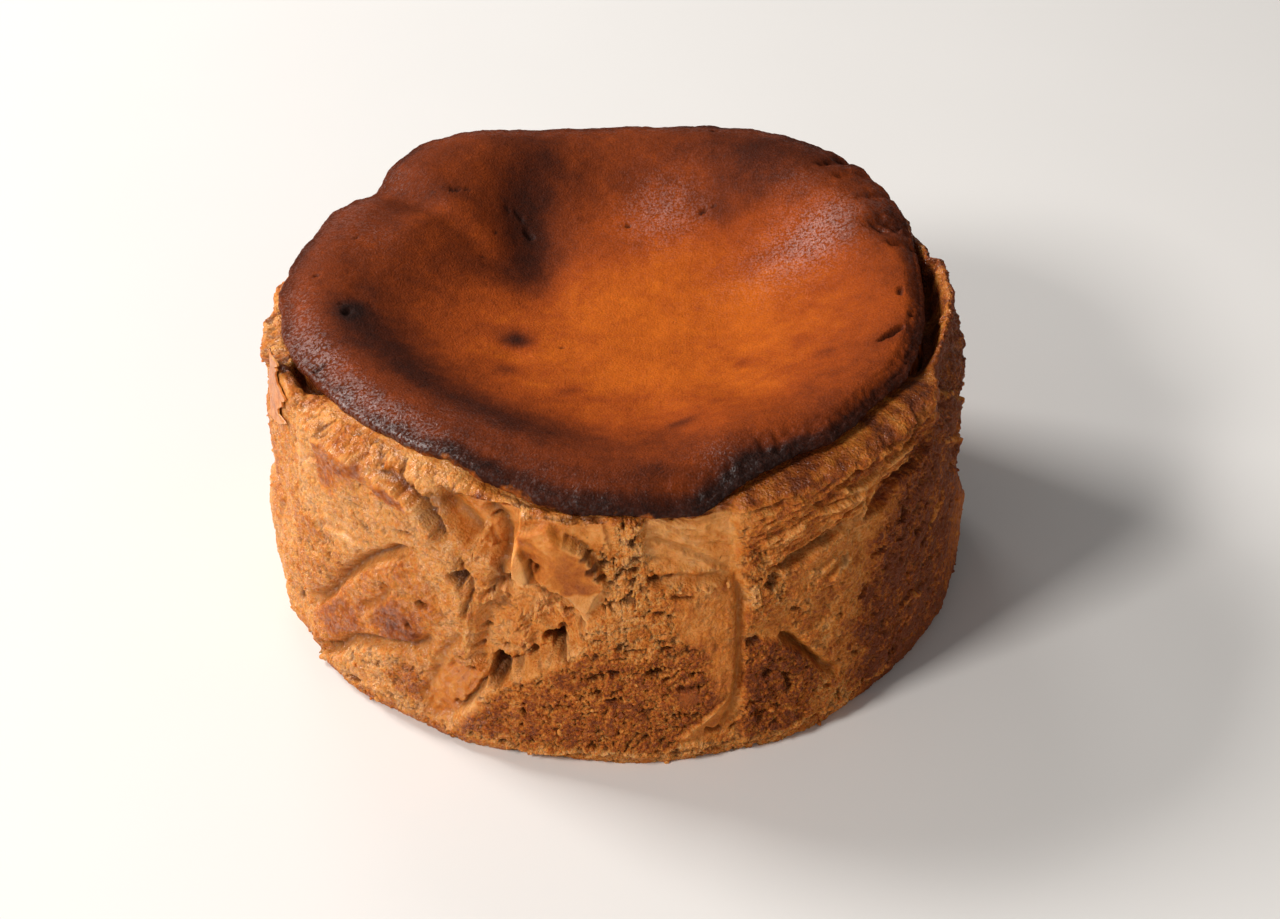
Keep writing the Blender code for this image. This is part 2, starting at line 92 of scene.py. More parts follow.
# The rim, read round the cake: azimuth, reach of the lip, height of its underside, height of
# the crest behind it, and height of the side's upper edge.
REACH, UNDER, CREST, EDGE = 1, 2, 3, 4
RIM = (
    (-172, 58.0, 54.0, 57.2, 50.5),
    (-163, 58.4, 54.8, 58.2, 50.5),
    (-155, 59.4, 55.9, 59.4, 51.0),
    (-144, 59.6, 56.0, 59.6, 51.0),
    (-137, 59.0, 54.8, 58.6, 50.5),
    (-131, 56.9, 52.6, 55.6, 49.5),
    (-124, 57.4, 53.4, 56.6, 49.8),
    (-109, 57.2, 53.2, 57.0, 50.3),
    (-92, 57.2, 52.5, 56.8, 50.5),
    (-76, 56.6, 52.2, 56.6, 50.8),
    (-70, 56.0, 52.2, 56.5, 53.4),
    (-65, 55.4, 52.4, 56.4, 53.2),
    (-60, 55.2, 52.8, 56.3, 50.8),
    (-50, 55.4, 53.2, 56.2, 50.9),
    (-38, 55.2, 53.2, 56.0, 50.3),
    (-27, 55.4, 52.7, 55.8, 49.6),
    (-17, 56.8, 50.8, 55.2, 49.0),
    (-9, 58.7, 49.9, 54.8, 48.6),
    (2, 59.1, 49.8, 54.6, 48.4),
    (13, 59.4, 49.0, 54.8, 48.0),
    (20, 57.4, 51.3, 55.6, 48.6),
    (30, 55.4, 52.4, 56.0, 49.6),
    (40, 55.8, 52.8, 56.2, 50.2),
    (50, 54.4, 53.0, 56.4, 50.6),
    (60, 54.6, 53.2, 56.5, 51.2),
    (72, 53.6, 53.2, 56.6, 52.4),
    (86, 52.8, 53.0, 56.6, 53.4),
    (100, 53.6, 53.4, 57.2, 53.8),
    (112, 55.8, 54.2, 58.0, 52.4),
    (122, 58.0, 54.6, 58.6, 51.0),
    (133, 59.2, 55.6, 59.2, 50.8),
    (146, 59.2, 55.8, 59.4, 51.0),
    (158, 59.0, 55.2, 58.8, 51.0),
    (170, 58.2, 54.2, 57.6, 50.6),
)

# Gaps where the baked skin of the side has parted from the crust: azimuth, spread in azimuth,
# how far the gap goes down, and how much nearer to the skin its floor lies.
GAPS = (
    (89.0, 22.0, 6.5, 2.2),
    (-67.5, 5.0, 2.5, 0.8),
)
GROOVE_DEPTH = 0.5
GROOVE_REACH = 2.0
FILLED_GROOVE = (-62.0, -54.0, -30.0, -20.0)     # where crumb fills the groove under the lip

# Plates of the side: how far out each stands, how soft its edge is, how porous it is, how brown
# it is, and its corners as azimuth and height. Hollows stand out by less than nothing.
PADS = {
    "front low pad": (0.9, 0.9, 1.0, 0.72, (
        (-31, 1), (-25, 8), (-20, 16.5), (-10, 21.5), (-6, 27), (-1, 33), (5, 37.5),
        (17.4, 37), (18, 24), (17.6, 14), (12.6, 8), (9, 5), (14, 3), (16, -2), (-31, -2))),
    "right low pad": (0.8, 0.8, 1.0, 0.78, (
        (19, -2), (19.2, 24), (22, 23.5), (26, 21.5), (30, 17), (34, 12), (38, 9), (39, -2))),
    "right tan pad": (0.5, 1.0, 0.6, 0.40, (
        (27.5, 24), (27, 31), (42, 31), (44, 10), (38, 10.5), (34, 13.5), (30, 19))),
    "right column": (0.7, 0.9, 0.9, 0.42, (
        (19.5, 26), (19.3, 45), (22, 48), (27, 47), (26.5, 38), (26, 27))),
    "right far pad": (0.7, 1.4, 0.9, 0.62, (
        (44, 34), (62, 37), (70, 22), (68, 5), (46, 5), (45, 14))),
    "left high pad": (0.9, 1.0, 0.45, 0.24, (
        (-60, 50.5), (-54, 51.5), (-38, 49.5), (-30, 48), (-28, 43), (-24, 39), (-24, 28),
        (-27, 25), (-33, 38.6), (-37, 37.4), (-43, 32.8), (-48, 27.6), (-55, 19.6), (-62, 13))),
    "left middle pad": (0.9, 1.0, 0.4, 0.50, (
        (-61, 10), (-54, 17.4), (-46.4, 26.4), (-41.4, 31.6), (-36, 35.4), (-32, 36), (-28, 25),
        (-31, 22.4), (-36, 17.8), (-44, 15.4), (-49, 12.6), (-55, 7.4), (-61, 3))),
    "left low pad": (0.7, 1.0, 0.6, 0.26, (
        (-61, 0), (-55, 4.8), (-49, 10), (-45, 12.4), (-38, 14.4), (-34, 8), (-33, -2), (-61, -2))),
    "slab": (1.9, 0.5, 0.0, 0.58, (
        (-15, 46.5), (-10, 48), (-7.5, 46), (-5, 44.5), (-3, 42), (-2, 38), (-4.5, 33),
        (-8.5, 36.5), (-15, 40))),
    "finger": (2.2, 0.3, 0.0, 0.04, ((-16.4, 45.4), (-14, 45), (-11.9, 36.6), (-14.4, 35.6))),
    "torn cave": (-2.8, 0.8, 0.42, 0.34, (
        (-24, 19), (-21, 33), (-16, 38), (-8, 37), (-5.5, 31), (-7, 25.5), (-11, 21.5),
        (-19, 15.5))),
    "upper hollow": (-2.8, 0.6, 0.0, 0.34, (
        (-29, 50), (-27.5, 45.5), (-23, 41.5), (-16, 40), (-15, 50))),
    "streaked hollow": (-1.3, 0.9, 0.05, 0.12, (
        (4, 50), (5, 41), (15, 38.5), (18, 36.5), (19.3, 50))),
    "low wedge": (-1.0, 0.6, 0.0, 0.38, (
        (-33, 4), (-28, 5), (-23, 11.5), (-21, 16), (-27, 17), (-31, 14))),
    "right layer": (0.8, 0.9, 0.4, 0.48, (
        (27, 40.5), (38, 41), (44, 45), (52, 47), (60, 52), (27, 51))),
    "right hollow": (-2.0, 0.8, 0.5, 0.75, (
        (42, 38.5), (47, 38.5), (52, 41), (60, 42), (60, 50), (48, 46))),
    "far right skin": (0.3, 1.5, 0.3, 0.85, ((64, 46), (63, 42), (72, 34), (100, 36), (112, 46))),
    "far right brim": (-2.4, 4.0, 0.2, 0.8, ((66, 60), (66, 46), (116, 46), (116, 60))),
    "far right bulge": (1.0, 4.0, 0.8, 0.85, ((68, 1), (68, 20), (112, 20), (112, 1))),
    "far left bulge": (1.2, 4.0, 0.6, 0.4, ((-106, 1), (-106, 18), (-68, 18), (-68, 1))),
    "left flap": (0.3, 0.8, 0.0, 0.3, ((-73, 54), (-71, 46), (-66, 44), (-64, 54))),
}

# Creases: width, depth, and the points each one runs through, as azimuth and height.
CREASES = (
    (1.15, 1.6, ((-62, 11.5), (-59.5, 13.5), (-54.5, 18.5), (-47, 27), (-42.2, 32.3), (-36.5, 36.8),
                (-32.5, 38.8))),
    (0.9, 1.0, ((-46, 20), (-40, 25), (-38, 29))),
    (1.15, 1.6, ((-61, 1.2), (-55.2, 6), (-48.4, 11.8), (-44, 14), (-39.5, 16), (-35.8, 17),
                (-32.5, 19), (-30.5, 22.3))),
    (0.9, 1.0, ((-34, 6), (-31, 14), (-28, 20), (-25, 24))),
    (0.8, 0.9, ((18.2, 38), (18.8, 30), (18.3, 22), (18.6, 16), (17.5, 10), (16, 5))),
    (0.8, 1.5, ((25.5, 22.8), (28, 20.5), (30, 17.5), (34, 12.5), (37, 10))),
    (0.8, 0.8, ((4.5, 38.8), (7, 37.8), (9.5, 38.4), (12, 37.4), (15, 37.6), (18, 36))),
    (0.8, 1.3, ((24.5, 36.3), (30, 37.5), (34, 38.8), (38.5, 40))),
    (0.7, 1.0, ((36, 42.2), (41, 43.2))),
    (1.5, 1.5, ((-31, 49.3), (-26.6, 46.7), (-23.6, 44.6), (-21.6, 42.3))),
    (1.5, 1.8, ((-21.8, 48.8), (-18.4, 46.4), (-17.3, 43.3), (-18.2, 38), (-19.6, 33))),
)

# Holes torn in the side: azimuth, height, half width, half height, depth.
HOLES = (
    (-10.0, 23.9, 2.0, 1.35, 5.0),
    (-19.5, 16.8, 1.4, 2.0, 4.4),
    (-25.2, 35.2, 1.2, 1.3, 2.4),
    (51.6, 34.2, 0.9, 1.6, 1.8),
    (49.6, 7.0, 1.1, 1.7, 1.8),
)

# Swellings and valleys of the top: x, y, half length, half width, turn in degrees, height.
TOP_FORMS = (
    (-33, 21, 14, 12, 20, 2.8),      # hump at the rear left
    (-14, 25, 17, 7, 100, -2.0),     # valley on its right
    (-35, 37, 9, 3, -15, -1.0),      # valley that runs in from the notch
    (-28, 46, 11, 5, -25, 0.6),      # lobe behind the notch
    (21, -46, 5, 4, 30, 1.1),        # bump by the front edge
    (-17, -9, 3, 3, 0, -0.6),
    (-45, 0, 4, 2.6, 80, -0.8),
    (14, 22, 16, 12, 0, 1.0),
    (32, -8, 10, 14, 0, 0.6),
)

# Folds of the side that isn't seen in front.
HIDDEN_FROM = 62.0
HIDDEN_FULL = 80.0
FOLD_COUNT = 46
FOLD_HEIGHT = 0.8
FOLD_SLOPE = 0.07
FOLD_CREASE_WIDTH = 1.5
FOLD_CREASE_DEPTH = 1.1

# ------------------------------------------------------------------------- finer things

# Stretches round the cake: the azimuths where each begins, is full, begins to fade and ends.
BLISTERED_SIDE = (-125, -80, -34, -24)
BROWNED_SIDE = (6, 22, 130, 150)
PALER_SIDE = (-130, -80, -48, -34)
BROWNED_AND_SHADED_UPPER_SIDE = (14, 28, 130, 150)
BROWNED_FAR_SIDE = (40, 64, 100, 140)
MOIST_SIDE = (-120, -75, -30, -12)
SMOOTH_SHOULDER = (8, 24, 130, 150)
SHADED_SHOULDER = (-16, -8, 8, 20)
WRINKLED_LIP = (4, 16, 66, 110)
CHARRED_LIP = (4, 18, 70, 100)
ROUGH_LIP = (4, 14, 66, 100)
TORN_LIP = (-34, -26, -2, 8)
SHORT_SKINNED_LIP = (-40, -32, -18, -8)      # where the burnt skin ends sooner under the tip
BROWNED_LIP = (-50, -30, 20, 40)
DARKEST_FRONT_LIP = (-40, -26, 2, 12)
GLOSSY_LIP = (-96, -70, -38, -20)
GLOSSIEST_LIP = (-60, -52, -42, -34)

SHOULDER_RUN = 4.0       # how far the side's own surface runs on over the shoulder
SHOULDER_BAND = 3.0      # width of the shoulder's rubble, along its surface
SHOULDER_BROWN = 0.42    # how brown the shoulder is
WIDE_GAP = 2.5           # depth of a gap whose skin stands free
BARE_PORES = 0.45        # how porous and how brown the side is between its plates
BARE_BROWN = 0.36
FLAT_FOOT = 3.0          # height below which the side's relief fades out towards the foot
# On the right the side darkens towards the underside of the lip: partly its bake, partly painted shade
# under the lip.
UPPER_SIDE = (46.5, 50.5)        # heights between which the side turns brown below the crust

# Shares of its way over which a crease, a ledge and a crack fade at each end.
CREASE_END, LEDGE_END, CRACK_END = 0.1, 0.16, 0.12

# Places whose crumb or colour differs from their plate's: how soft the border is, how porous and
# how brown it is, and its corners as azimuth and height.
ZONES = {
    "pale border of the front pad": (1.2, 0.5, 0.28, (
        (-31, 3), (-25, 9.5), (-20, 17), (-10, 22.5), (-6, 27.5), (-3, 32), (-1.5, 31.4), (-3.4, 27),
        (-8.4, 21.2), (-18.6, 15), (-22.8, 8.4), (-28.2, 2))),
    "upper part of the front pad": (1.8, 0.9, 0.36, (
        (-3, 29), (0, 36), (5, 38), (9, 37), (10, 26), (4, 25), (-2, 25.5))),
    "smooth band of the front pad": (1.2, 0.25, 0.40, (
        (8.5, 36), (17.5, 37), (18, 14), (14.5, 12), (13.5, 22), (9, 27))),
    "facet of the front pad": (0.5, 0.05, 0.36, ((9, 6), (17.2, 13.8), (17.6, 7), (13, 5.2))),
    "golden corner": (1.5, 1.0, 0.40, ((33, 11), (38, 9), (42, 4), (42, -2), (34, -2), (30, 6))),
    "golden foot": (1.0, 0.9, 0.38, ((-26, 3.4), (19, 3.8), (60, 4), (60, -2), (-26, -2))),
    "brown foot at the left": (1.0, 0.9, 0.62, (
        (-66, 2.6), (-56, 3.4), (-46, 2.6), (-36, 3.2), (-26, 2.6), (-26, -2), (-66, -2))),
    "crumb column": (0.9, 1.0, 0.28, ((0, 50), (4.5, 50), (5, 41), (4.5, 38), (-2.5, 37), (-1.5, 42))),
    "crumb by the slab": (0.4, 1.0, 0.30, (
        (-7.6, 46.4), (-5, 44.8), (-3, 42.5), (-2, 39.5), (-2, 37.5), (-0.6, 38), (-0.6, 42),
        (-2.6, 45), (-5, 46.4))),
    "facet below the slab": (0.4, 0.0, 0.14, ((-8.2, 37), (-2, 37), (-2.4, 35.4), (-5, 28.8), (-5.8, 33))),
    "dusky skin top left": (1.2, 0.15, 0.74, (
        (-54, 51), (-43, 50.8), (-41.5, 48.2), (-47, 46), (-49.5, 41.5), (-53, 42))),
    "dusky skin second": (0.9, 0.1, 0.76, ((-40.5, 50), (-34, 50), (-31, 47), (-36, 46.4), (-40, 47.4))),
    "dusky patch left": (1.8, 0.2, 0.74, (
        (-60, 10.5), (-57, 15.6), (-52, 19.4), (-46.4, 20), (-43.8, 16.6), (-46, 13.6), (-53, 9.8))),
    # The next two pale places lie on facets that face up towards the light: partly painted highlight.
    "pale places at the left": (1.2, 0.1, 0.14, (
        (-52, 34), (-47, 33), (-43, 35), (-45, 36.6), (-50, 36.6), (-53, 36.4))),
    "pale place above them": (1.0, 0.1, 0.14, ((-62, 42), (-56, 41), (-55.4, 45), (-58, 47.6), (-61, 46))),
    "dusky patch right of it": (1.6, 0.2, 0.82, (
        (-42.4, 19.2), (-40.6, 23.6), (-37, 26), (-33, 24.2), (-32.4, 20), (-35, 17.6), (-39, 16.8))),
    "rough patch by the wedge": (1.0, 0.8, 0.66, (
        (-41, 9), (-38, 12.5), (-34, 13.5), (-32.5, 10), (-34, 6.5), (-39, 6.5))),
    "bumpy left": (2.0, 0.7, 0.44, (
        (-66, 33), (-54, 33), (-47, 30), (-52, 22.5), (-60, 16), (-66, 14))),
    "dusky spot": (0.8, 0.0, 0.80, ((8.5, 15.6), (12.4, 15.4), (13, 13), (9.4, 12.4))),
    "dusky far right": (4.5, 0.85, 0.94, (
        (41.5, 5), (40.6, 16), (42.4, 24), (45.6, 31), (49.5, 37), (54, 42), (60, 46), (68, 50), (84, 46),
        (86, -4), (46, -4))),
    "torn right": (1.2, 0.4, 0.46, (
        (20, 49), (27, 49.5), (38, 51), (44, 50), (45, 45), (38, 40.5), (30, 38), (26, 38.5),
        (21, 41))),
    "top of the slab": (1.6, 0.0, 0.42, ((-13, 48.5), (-7, 48.6), (-6, 45.4), (-11, 44))),
    "facet by the slab": (0.6, 0.0, 0.36, ((-7, 49), (-1, 49), (-1.4, 43.6), (-5, 45.2))),
}

# Torn crumb with a grain: depth, width and stretch of its streaks, their slope in degrees, how
# soft the border is, and its corners as azimuth and height.
STREAKS = (
    (0.30, 0.9, 6.0, -22, 0.8, ((4, 50), (5, 41), (15, 38.5), (18, 36.5), (19.3, 50))),
    (0.50, 1.2, 4.5, 17, 1.0, (
        (19.5, 47), (20, 37), (27, 37.5), (38, 40), (44, 43), (48, 50), (42, 52), (20, 51))),
    (0.45, 1.3, 4.0, 30, 1.5, ((40, 40), (46, 36), (62, 44), (62, 54), (48, 52), (44, 45))),
    (0.40, 1.4, 5.0, -38, 2.0, ((62, 52), (62, 38), (74, 28), (100, 30), (100, 50))),
    (0.20, 2.2, 9.0, -38, 0.8, ((-31, 50), (-27.5, 45.5), (-23, 41.5), (-18, 38), (-16, 50))),
    (0.16, 1.5, 4.0, -35, 0.8, ((-15, 48), (-3, 48), (-1, 36), (-5, 30), (-8, 36), (-15, 40))),
    (0.12, 1.2, 5.0, 88, 0.8, ((10, 36), (17.5, 36.6), (18, 14), (14.5, 12), (13, 22))),
    (0.18, 1.4, 5.0, 40, 1.5, ((-60, 16), (-33, 38), (-26, 30), (-40, 14), (-60, 4))),
    (0.22, 1.2, 4.0, 55, 0.8, ((-34, 4), (-27, 5), (-19, 16), (-25, 24), (-31, 18))),
    (0.20, 1.4, 4.0, 35, 1.2, ((27, 24), (28, 33), (42, 33), (44, 11), (38, 11), (30, 19))),
)

# Edges of torn layers: how far the layer stands out, how far from its edge it fades into the
# side, and its edge, with the layer on the left of the run.
LEDGES = (
    (1.5, 4.0, ((-42.6, 50.8), (-47, 51.6), (-51, 51.6), (-55, 51.2))),
    (2.4, 4.0, ((-27.2, 41.2), (-28.2, 44.6), (-29.6, 46.4), (-31.3, 48), (-33.4, 49.2), (-36.5, 50),
                (-41, 50.2))),
    (0.5, 3.0, ((-43, 34), (-48, 34.6), (-52, 33.8), (-55, 31))),
    (0.6, 3.0, ((-52.5, 46.5), (-56, 44.8), (-60, 41.5))),
    (1.4, 4.0, ((-2.2, 37.5), (-2.8, 41.5), (-5, 44.4), (-7.8, 46.2), (-8.2, 48))),
    (1.6, 3.2, ((-12.2, 39.6), (-8.5, 36.8), (-6.4, 34), (-5.3, 31), (-5.2, 27.5))),
    (1.3, 1.5, ((-14.4, 35), (-13.2, 39.5), (-13.6, 44))),
    (0.8, 3.0, ((-17.6, 31.5), (-18.4, 36.5), (-19.4, 40.5), (-20.8, 44.5))),
    (0.6, 2.2, ((-24.5, 20), (-23.6, 26), (-22.8, 32))),
    (0.5, 5.0, ((-3, 28.5), (-8, 23.6), (-14, 20), (-20.2, 16), (-24.5, 9.4), (-28, 6))),
    (0.5, 2.2, ((-1.1, 43.6), (-2.2, 48.8))),
    (0.6, 3.0, ((18.4, 36.6), (15, 39), (10, 42.6), (4.5, 45.4))),
    (0.5, 3.0, ((18.2, 36.3), (14, 37.8), (11, 37.2), (7.6, 38.4), (4.6, 38.2))),
    (0.7, 4.0, ((17.3, 13.8), (12, 8.8), (8.4, 5.6))),
    (1.4, 4.0, ((39, 40), (35, 39.3), (30, 37.4), (24.2, 36.3))),
    (0.6, 2.0, ((34.5, 41.8), (38, 42.6), (42, 43.2))),
    (0.6, 2.0, ((41.6, 37), (42, 40), (41.6, 43.2))),
    (0.9, 1.6, ((44.6, 47.4), (42, 46.2), (38.6, 46.2), (35.8, 47.8))),
    (0.8, 1.2, ((35.8, 48.4), (39, 49.8), (44, 49.4))),
    (0.9, 1.8, ((51, 49.3), (47.5, 49.7), (43.4, 50.2))),
    (0.9, 1.6, ((52.4, 48.2), (49, 47.8), (45.4, 48))),
    (0.9, 2.5, ((30, 44.8), (26.4, 43), (22, 42.6))),
    (0.9, 2.5, ((41, 45.6), (36.6, 44.6), (33.4, 44.9), (30.4, 46.6))),
    (0.8, 3.0, ((30, 49.2), (25.4, 48), (21, 47.8))),
    (0.8, 2.0, ((39.4, 33.4), (36.6, 32.6), (33.6, 30.6))),
    (0.7, 2.0, ((36, 35.4), (32.6, 33.2), (30.4, 33.6))),
    (1.4, 4.0, ((61, 53.6), (57, 51.4), (54.4, 49.8), (51, 47.6))),
    (0.7, 3.0, ((48, 41), (52, 42.4), (57, 42.6))),
    (0.6, 3.0, ((58, 14.6), (54.5, 16.4), (50, 15.6))),
    (0.5, 2.4, ((25, 29), (24.6, 34), (22.4, 38.4))),
    (0.4, 2.5, ((19.6, 47.4), (24, 48.6), (29, 49))),
    (0.5, 3.0, ((67, 30), (62, 28.6), (58.6, 25.4))),
    (0.8, 2.5, ((83, 37), (76, 42), (70, 47), (66, 50))),
    (0.6, 2.5, ((88, 26), (78, 32), (70, 38), (64, 41))),
    (0.7, 1.1, ((-17, 1.7), (-12, 1.9), (-8, 2.7), (-5, 3.4), (0, 3.1), (5, 2.0))),
    (0.6, 1.1, ((5, 2.6), (9, 3.6), (14, 3.2), (17.5, 2.2))),
    (0.6, 1.1, ((-49, 2.2), (-44, 4.4), (-38, 4.8), (-33, 3.6))),
    (0.6, 1.1, ((24, 1.8), (31, 3.4), (38, 3.0), (44, 4.0), (52, 2.4))),
)

# Drifts of torn crumb: height, width and the line each lies along, as azimuth and height.
DRIFTS = (
    (1.5, 0.8, ((-11.0, 33.8), (-12.4, 31.8), (-12.9, 30), (-14.8, 29), (-15.8, 27), (-14.6, 25.2),
                (-15.5, 23.4), (-14.8, 21.6))),
    (1.0, 0.4, ((-12.6, 30.0), (-11.4, 30.5), (-10.8, 30.4))),
    (1.7, 0.6, ((-20.2, 34.4), (-19.9, 32.6), (-20.9, 31.0))),
    (1.3, 0.7, ((-21.1, 44.6), (-21.6, 42.6), (-22.4, 40.6))),
    (0.8, 0.6, ((-8.2, 29.6), (-9.2, 31.4))),
    (0.9, 0.8, ((3.2, 48.8), (1.8, 46.4), (3.4, 44.2), (1.6, 42.0))),
    (0.9, 0.5, ((7.8, 36.6), (9.2, 37.2))),
    (0.8, 0.6, ((12.0, 36.8), (13.8, 36.0))),
    (0.8, 0.9, ((-25.0, 33.0), (-25.6, 37.0), (-26.4, 41.0))),
    (0.7, 0.8, ((21.4, 31.0), (20.8, 34.0))),
    (1.1, 0.7, ((-60.4, 0.6), (-58.0, 1.8))),
)

# Small cracks, each with its width, depth and points.
CRACKS = (
    (0.45, 1.5, ((-9.8, 37.6), (-7.2, 35.4), (-5.8, 32.2), (-5.1, 28.8))),
    (0.4, 1.3, ((-13.2, 42.6), (-12, 41.9), (-11.5, 40.2))),
    (0.4, 1.0, ((-24.6, 39.6), (-22.4, 33.6), (-24.6, 27))),
    (0.45, 1.1, ((-28, 7), (-25.5, 8.8), (-23, 12), (-21, 15.5))),
    (0.4, 0.8, ((-35.5, 41), (-34, 41.6), (-32.5, 41.4))),
    (0.35, 0.9, ((-18.8, 49), (-18, 49.3), (-17, 49.2))),
    (0.45, 1.2, ((13.2, 6.6), (14.5, 6.2), (16, 6.4))),
    (0.4, 1.0, ((17.6, 5.6), (18.2, 7))),
    (0.4, 0.9, ((5, 3.6), (6.5, 3.1))),
    (0.4, 0.8, ((-4.5, 44), (-3.4, 42), (-2.6, 39.2))),
    (0.4, 1.6, ((-9, 50.2), (-4, 50.4), (0, 49.6), (4, 49.7))),
    (0.5, 1.4, ((25, 22.8), (27, 21.4), (29, 19), (31, 16.6), (34, 12.6))),
    (0.5, 1.6, ((23.6, 36.8), (27, 36.4), (30, 37), (33, 38.3), (36.6, 38.8))),
    (0.5, 1.5, ((35.6, 41.4), (38, 42.4), (41.8, 42.8))),
    (0.4, 1.0, ((36.2, 48), (40, 49), (44, 48.8))),
    (0.7, 1.8, ((51.6, 47.8), (55, 50), (60.4, 52.4))),
    (0.6, 1.3, ((49, 40.8), (52, 41.4), (56.6, 41.8))),
    (0.4, 1.2, ((4.4, 38.8), (6.5, 37.9), (9, 38.4))),
    (0.45, 0.8, ((57, 24.8), (60, 24.2))),
    (0.4, 0.8, ((40.8, 23.6), (42, 24.2), (43, 24))),
    (0.4, 0.8, ((66, 44), (72, 38), (77, 33))),
    (0.4, 0.8, ((68, 52), (72, 45), (78, 40))),
    (0.5, 0.9, ((-64, 54.5), (-62, 52.5), (-62.4, 50))),
    (0.45, 0.8, ((-60, 4.2), (-57, 5.2), (-54, 7.2))),
)

# Small pits of the side: azimuth, height, half width, half height, depth.
PITS = (
    (-4.6, 43.4, 0.8, 0.5, 1.4), (-3.4, 41.2, 0.8, 0.7, 1.6), (-2.6, 39.6, 0.7, 0.5, 1.4),
    (-19.4, 46.2, 1.2, 0.4, 1.1), (-7.6, 30.4, 0.7, 0.5, 0.9), (-21.8, 25.0, 0.9, 0.6, 0.9),
    (-14.0, 21.6, 0.9, 0.8, 1.3), (-17.6, 31.4, 0.5, 0.8, 0.7), (-23.6, 16.6, 1.2, 0.7, 1.1),
    (-9.0, 26.6, 0.7, 0.9, 1.2), (-18.6, 21.4, 0.7, 0.5, 0.9), (-23.0, 21.2, 0.7, 0.6, 0.8),
    (-0.5, 20.6, 0.9, 0.7, 1.5), (5.6, 20.6, 1.3, 0.7, 1.7), (-3.4, 16.2, 1.1, 0.6, 1.5),
    (-1.2, 15.0, 1.1, 0.4, 1.4), (-4.0, 18.9, 0.9, 0.6, 1.3), (2.4, 25.0, 1.5, 0.4, 1.1),
    (7.2, 24.9, 0.9, 0.5, 1.1), (-14.8, 11.2, 0.6, 0.9, 1.2), (-14.8, 13.0, 0.4, 0.5, 0.9),
    (-8.4, 13.4, 1.3, 0.35, 1.1), (9.8, 16.6, 1.2, 0.5, 1.1), (7.4, 18.6, 0.7, 0.5, 1.0),
    (23.5, 16.0, 0.8, 0.7, 1.1), (21.0, 11.0, 1.0, 0.45, 1.2), (27.4, 12.2, 0.8, 0.5, 1.0),
    (24.0, 34.4, 1.0, 1.4, 1.4), (21.2, 23.2, 1.3, 0.8, 1.5), (1.9, 40.2, 1.4, 0.6, 1.4),
    (6.4, 32.4, 0.8, 0.6, 1.0), (5.4, 37.6, 1.1, 0.6, 1.4), (9.8, 35.0, 1.4, 0.5, 1.1),
    (-39.0, 28.2, 0.9, 0.6, 1.4), (-32.0, 27.6, 1.1, 0.6, 1.3), (-34.8, 21.8, 0.8, 0.6, 1.0),
    (-44.0, 27.6, 0.5, 0.5, 0.6), (-58.4, 41.6, 1.0, 0.8, 1.2), (-62.6, 30.6, 0.9, 0.8, 1.0),
    (45.2, 30.4, 1.2, 0.5, 1.1), (55.8, 28.2, 0.9, 0.5, 1.2), (58.4, 24.6, 1.2, 0.4, 1.0),
    (41.5, 23.6, 0.9, 0.3, 0.9), (46.8, 26.4, 0.8, 0.4, 0.9), (-49.2, 26.6, 0.9, 0.6, 0.9),
    (-23.8, 36.2, 0.8, 0.6, 1.2), (-16.6, 18.6, 1.0, 0.5, 1.0), (-8.4, 22.6, 0.9, 0.4, 1.1),
    (34.2, 8.6, 0.7, 0.5, 0.9),
    (32.0, 3.4, 1.0, 0.4, 1.1), (41.2, 3.6, 1.0, 0.5, 1.3), (-48.6, 3.4, 1.4, 0.6, 1.4),
    (-19.2, 2.9, 0.7, 0.35, 0.8), (6.0, 7.8, 0.6, 0.4, 0.8), (-52.6, 27.0, 0.7, 0.4, 0.7),
)

# The crust's pinholes and slits: x, y, half length, half width, turn in degrees, depth.
TOP_PITS = (
    (-19, 31.9, 0.7, 0.3, -60, 0.5), (-17.4, 31.8, 1.0, 0.35, -50, 0.6), (-16.5, 31, 0.8, 0.3, -75, 0.5),
    (-15.2, 28, 1.1, 0.6, -50, 0.9), (-20.8, 25.2, 0.5, 0.25, 40, 0.4), (-23, 18.4, 0.4, 0.3, 0, 0.4),
    (-34.4, 27.4, 0.5, 0.25, 20, 0.4), (-28.2, 32.2, 1.1, 0.35, 20, 0.6), (-26.2, 32.9, 0.5, 0.3, 20, 0.4),
    (16, 30.2, 0.9, 0.45, 30, 0.8), (17.9, 30.9, 0.5, 0.25, 20, 0.4), (2.6, 29.4, 0.6, 0.4, 0, 0.7),
    (46, -16.8, 3.0, 0.7, 42, 1.3), (-45, -7, 1.1, 0.5, 70, 0.9), (-46.2, -4.6, 0.6, 0.3, 40, 0.6),
    (-9, -6, 0.3, 0.3, 0, 0.4), (-51, 4.6, 0.6, 0.4, 0, 0.8), (-45, 16.4, 0.6, 0.3, 60, 0.4),
    (18.5, 51, 0.7, 0.6, 0, 0.5), (-48.8, -21.8, 1.1, 0.5, 30, 0.6), (48.6, -3.6, 1.2, 0.5, 80, 0.9),
    (49.8, -10.4, 0.7, 0.4, 60, 0.8),
)
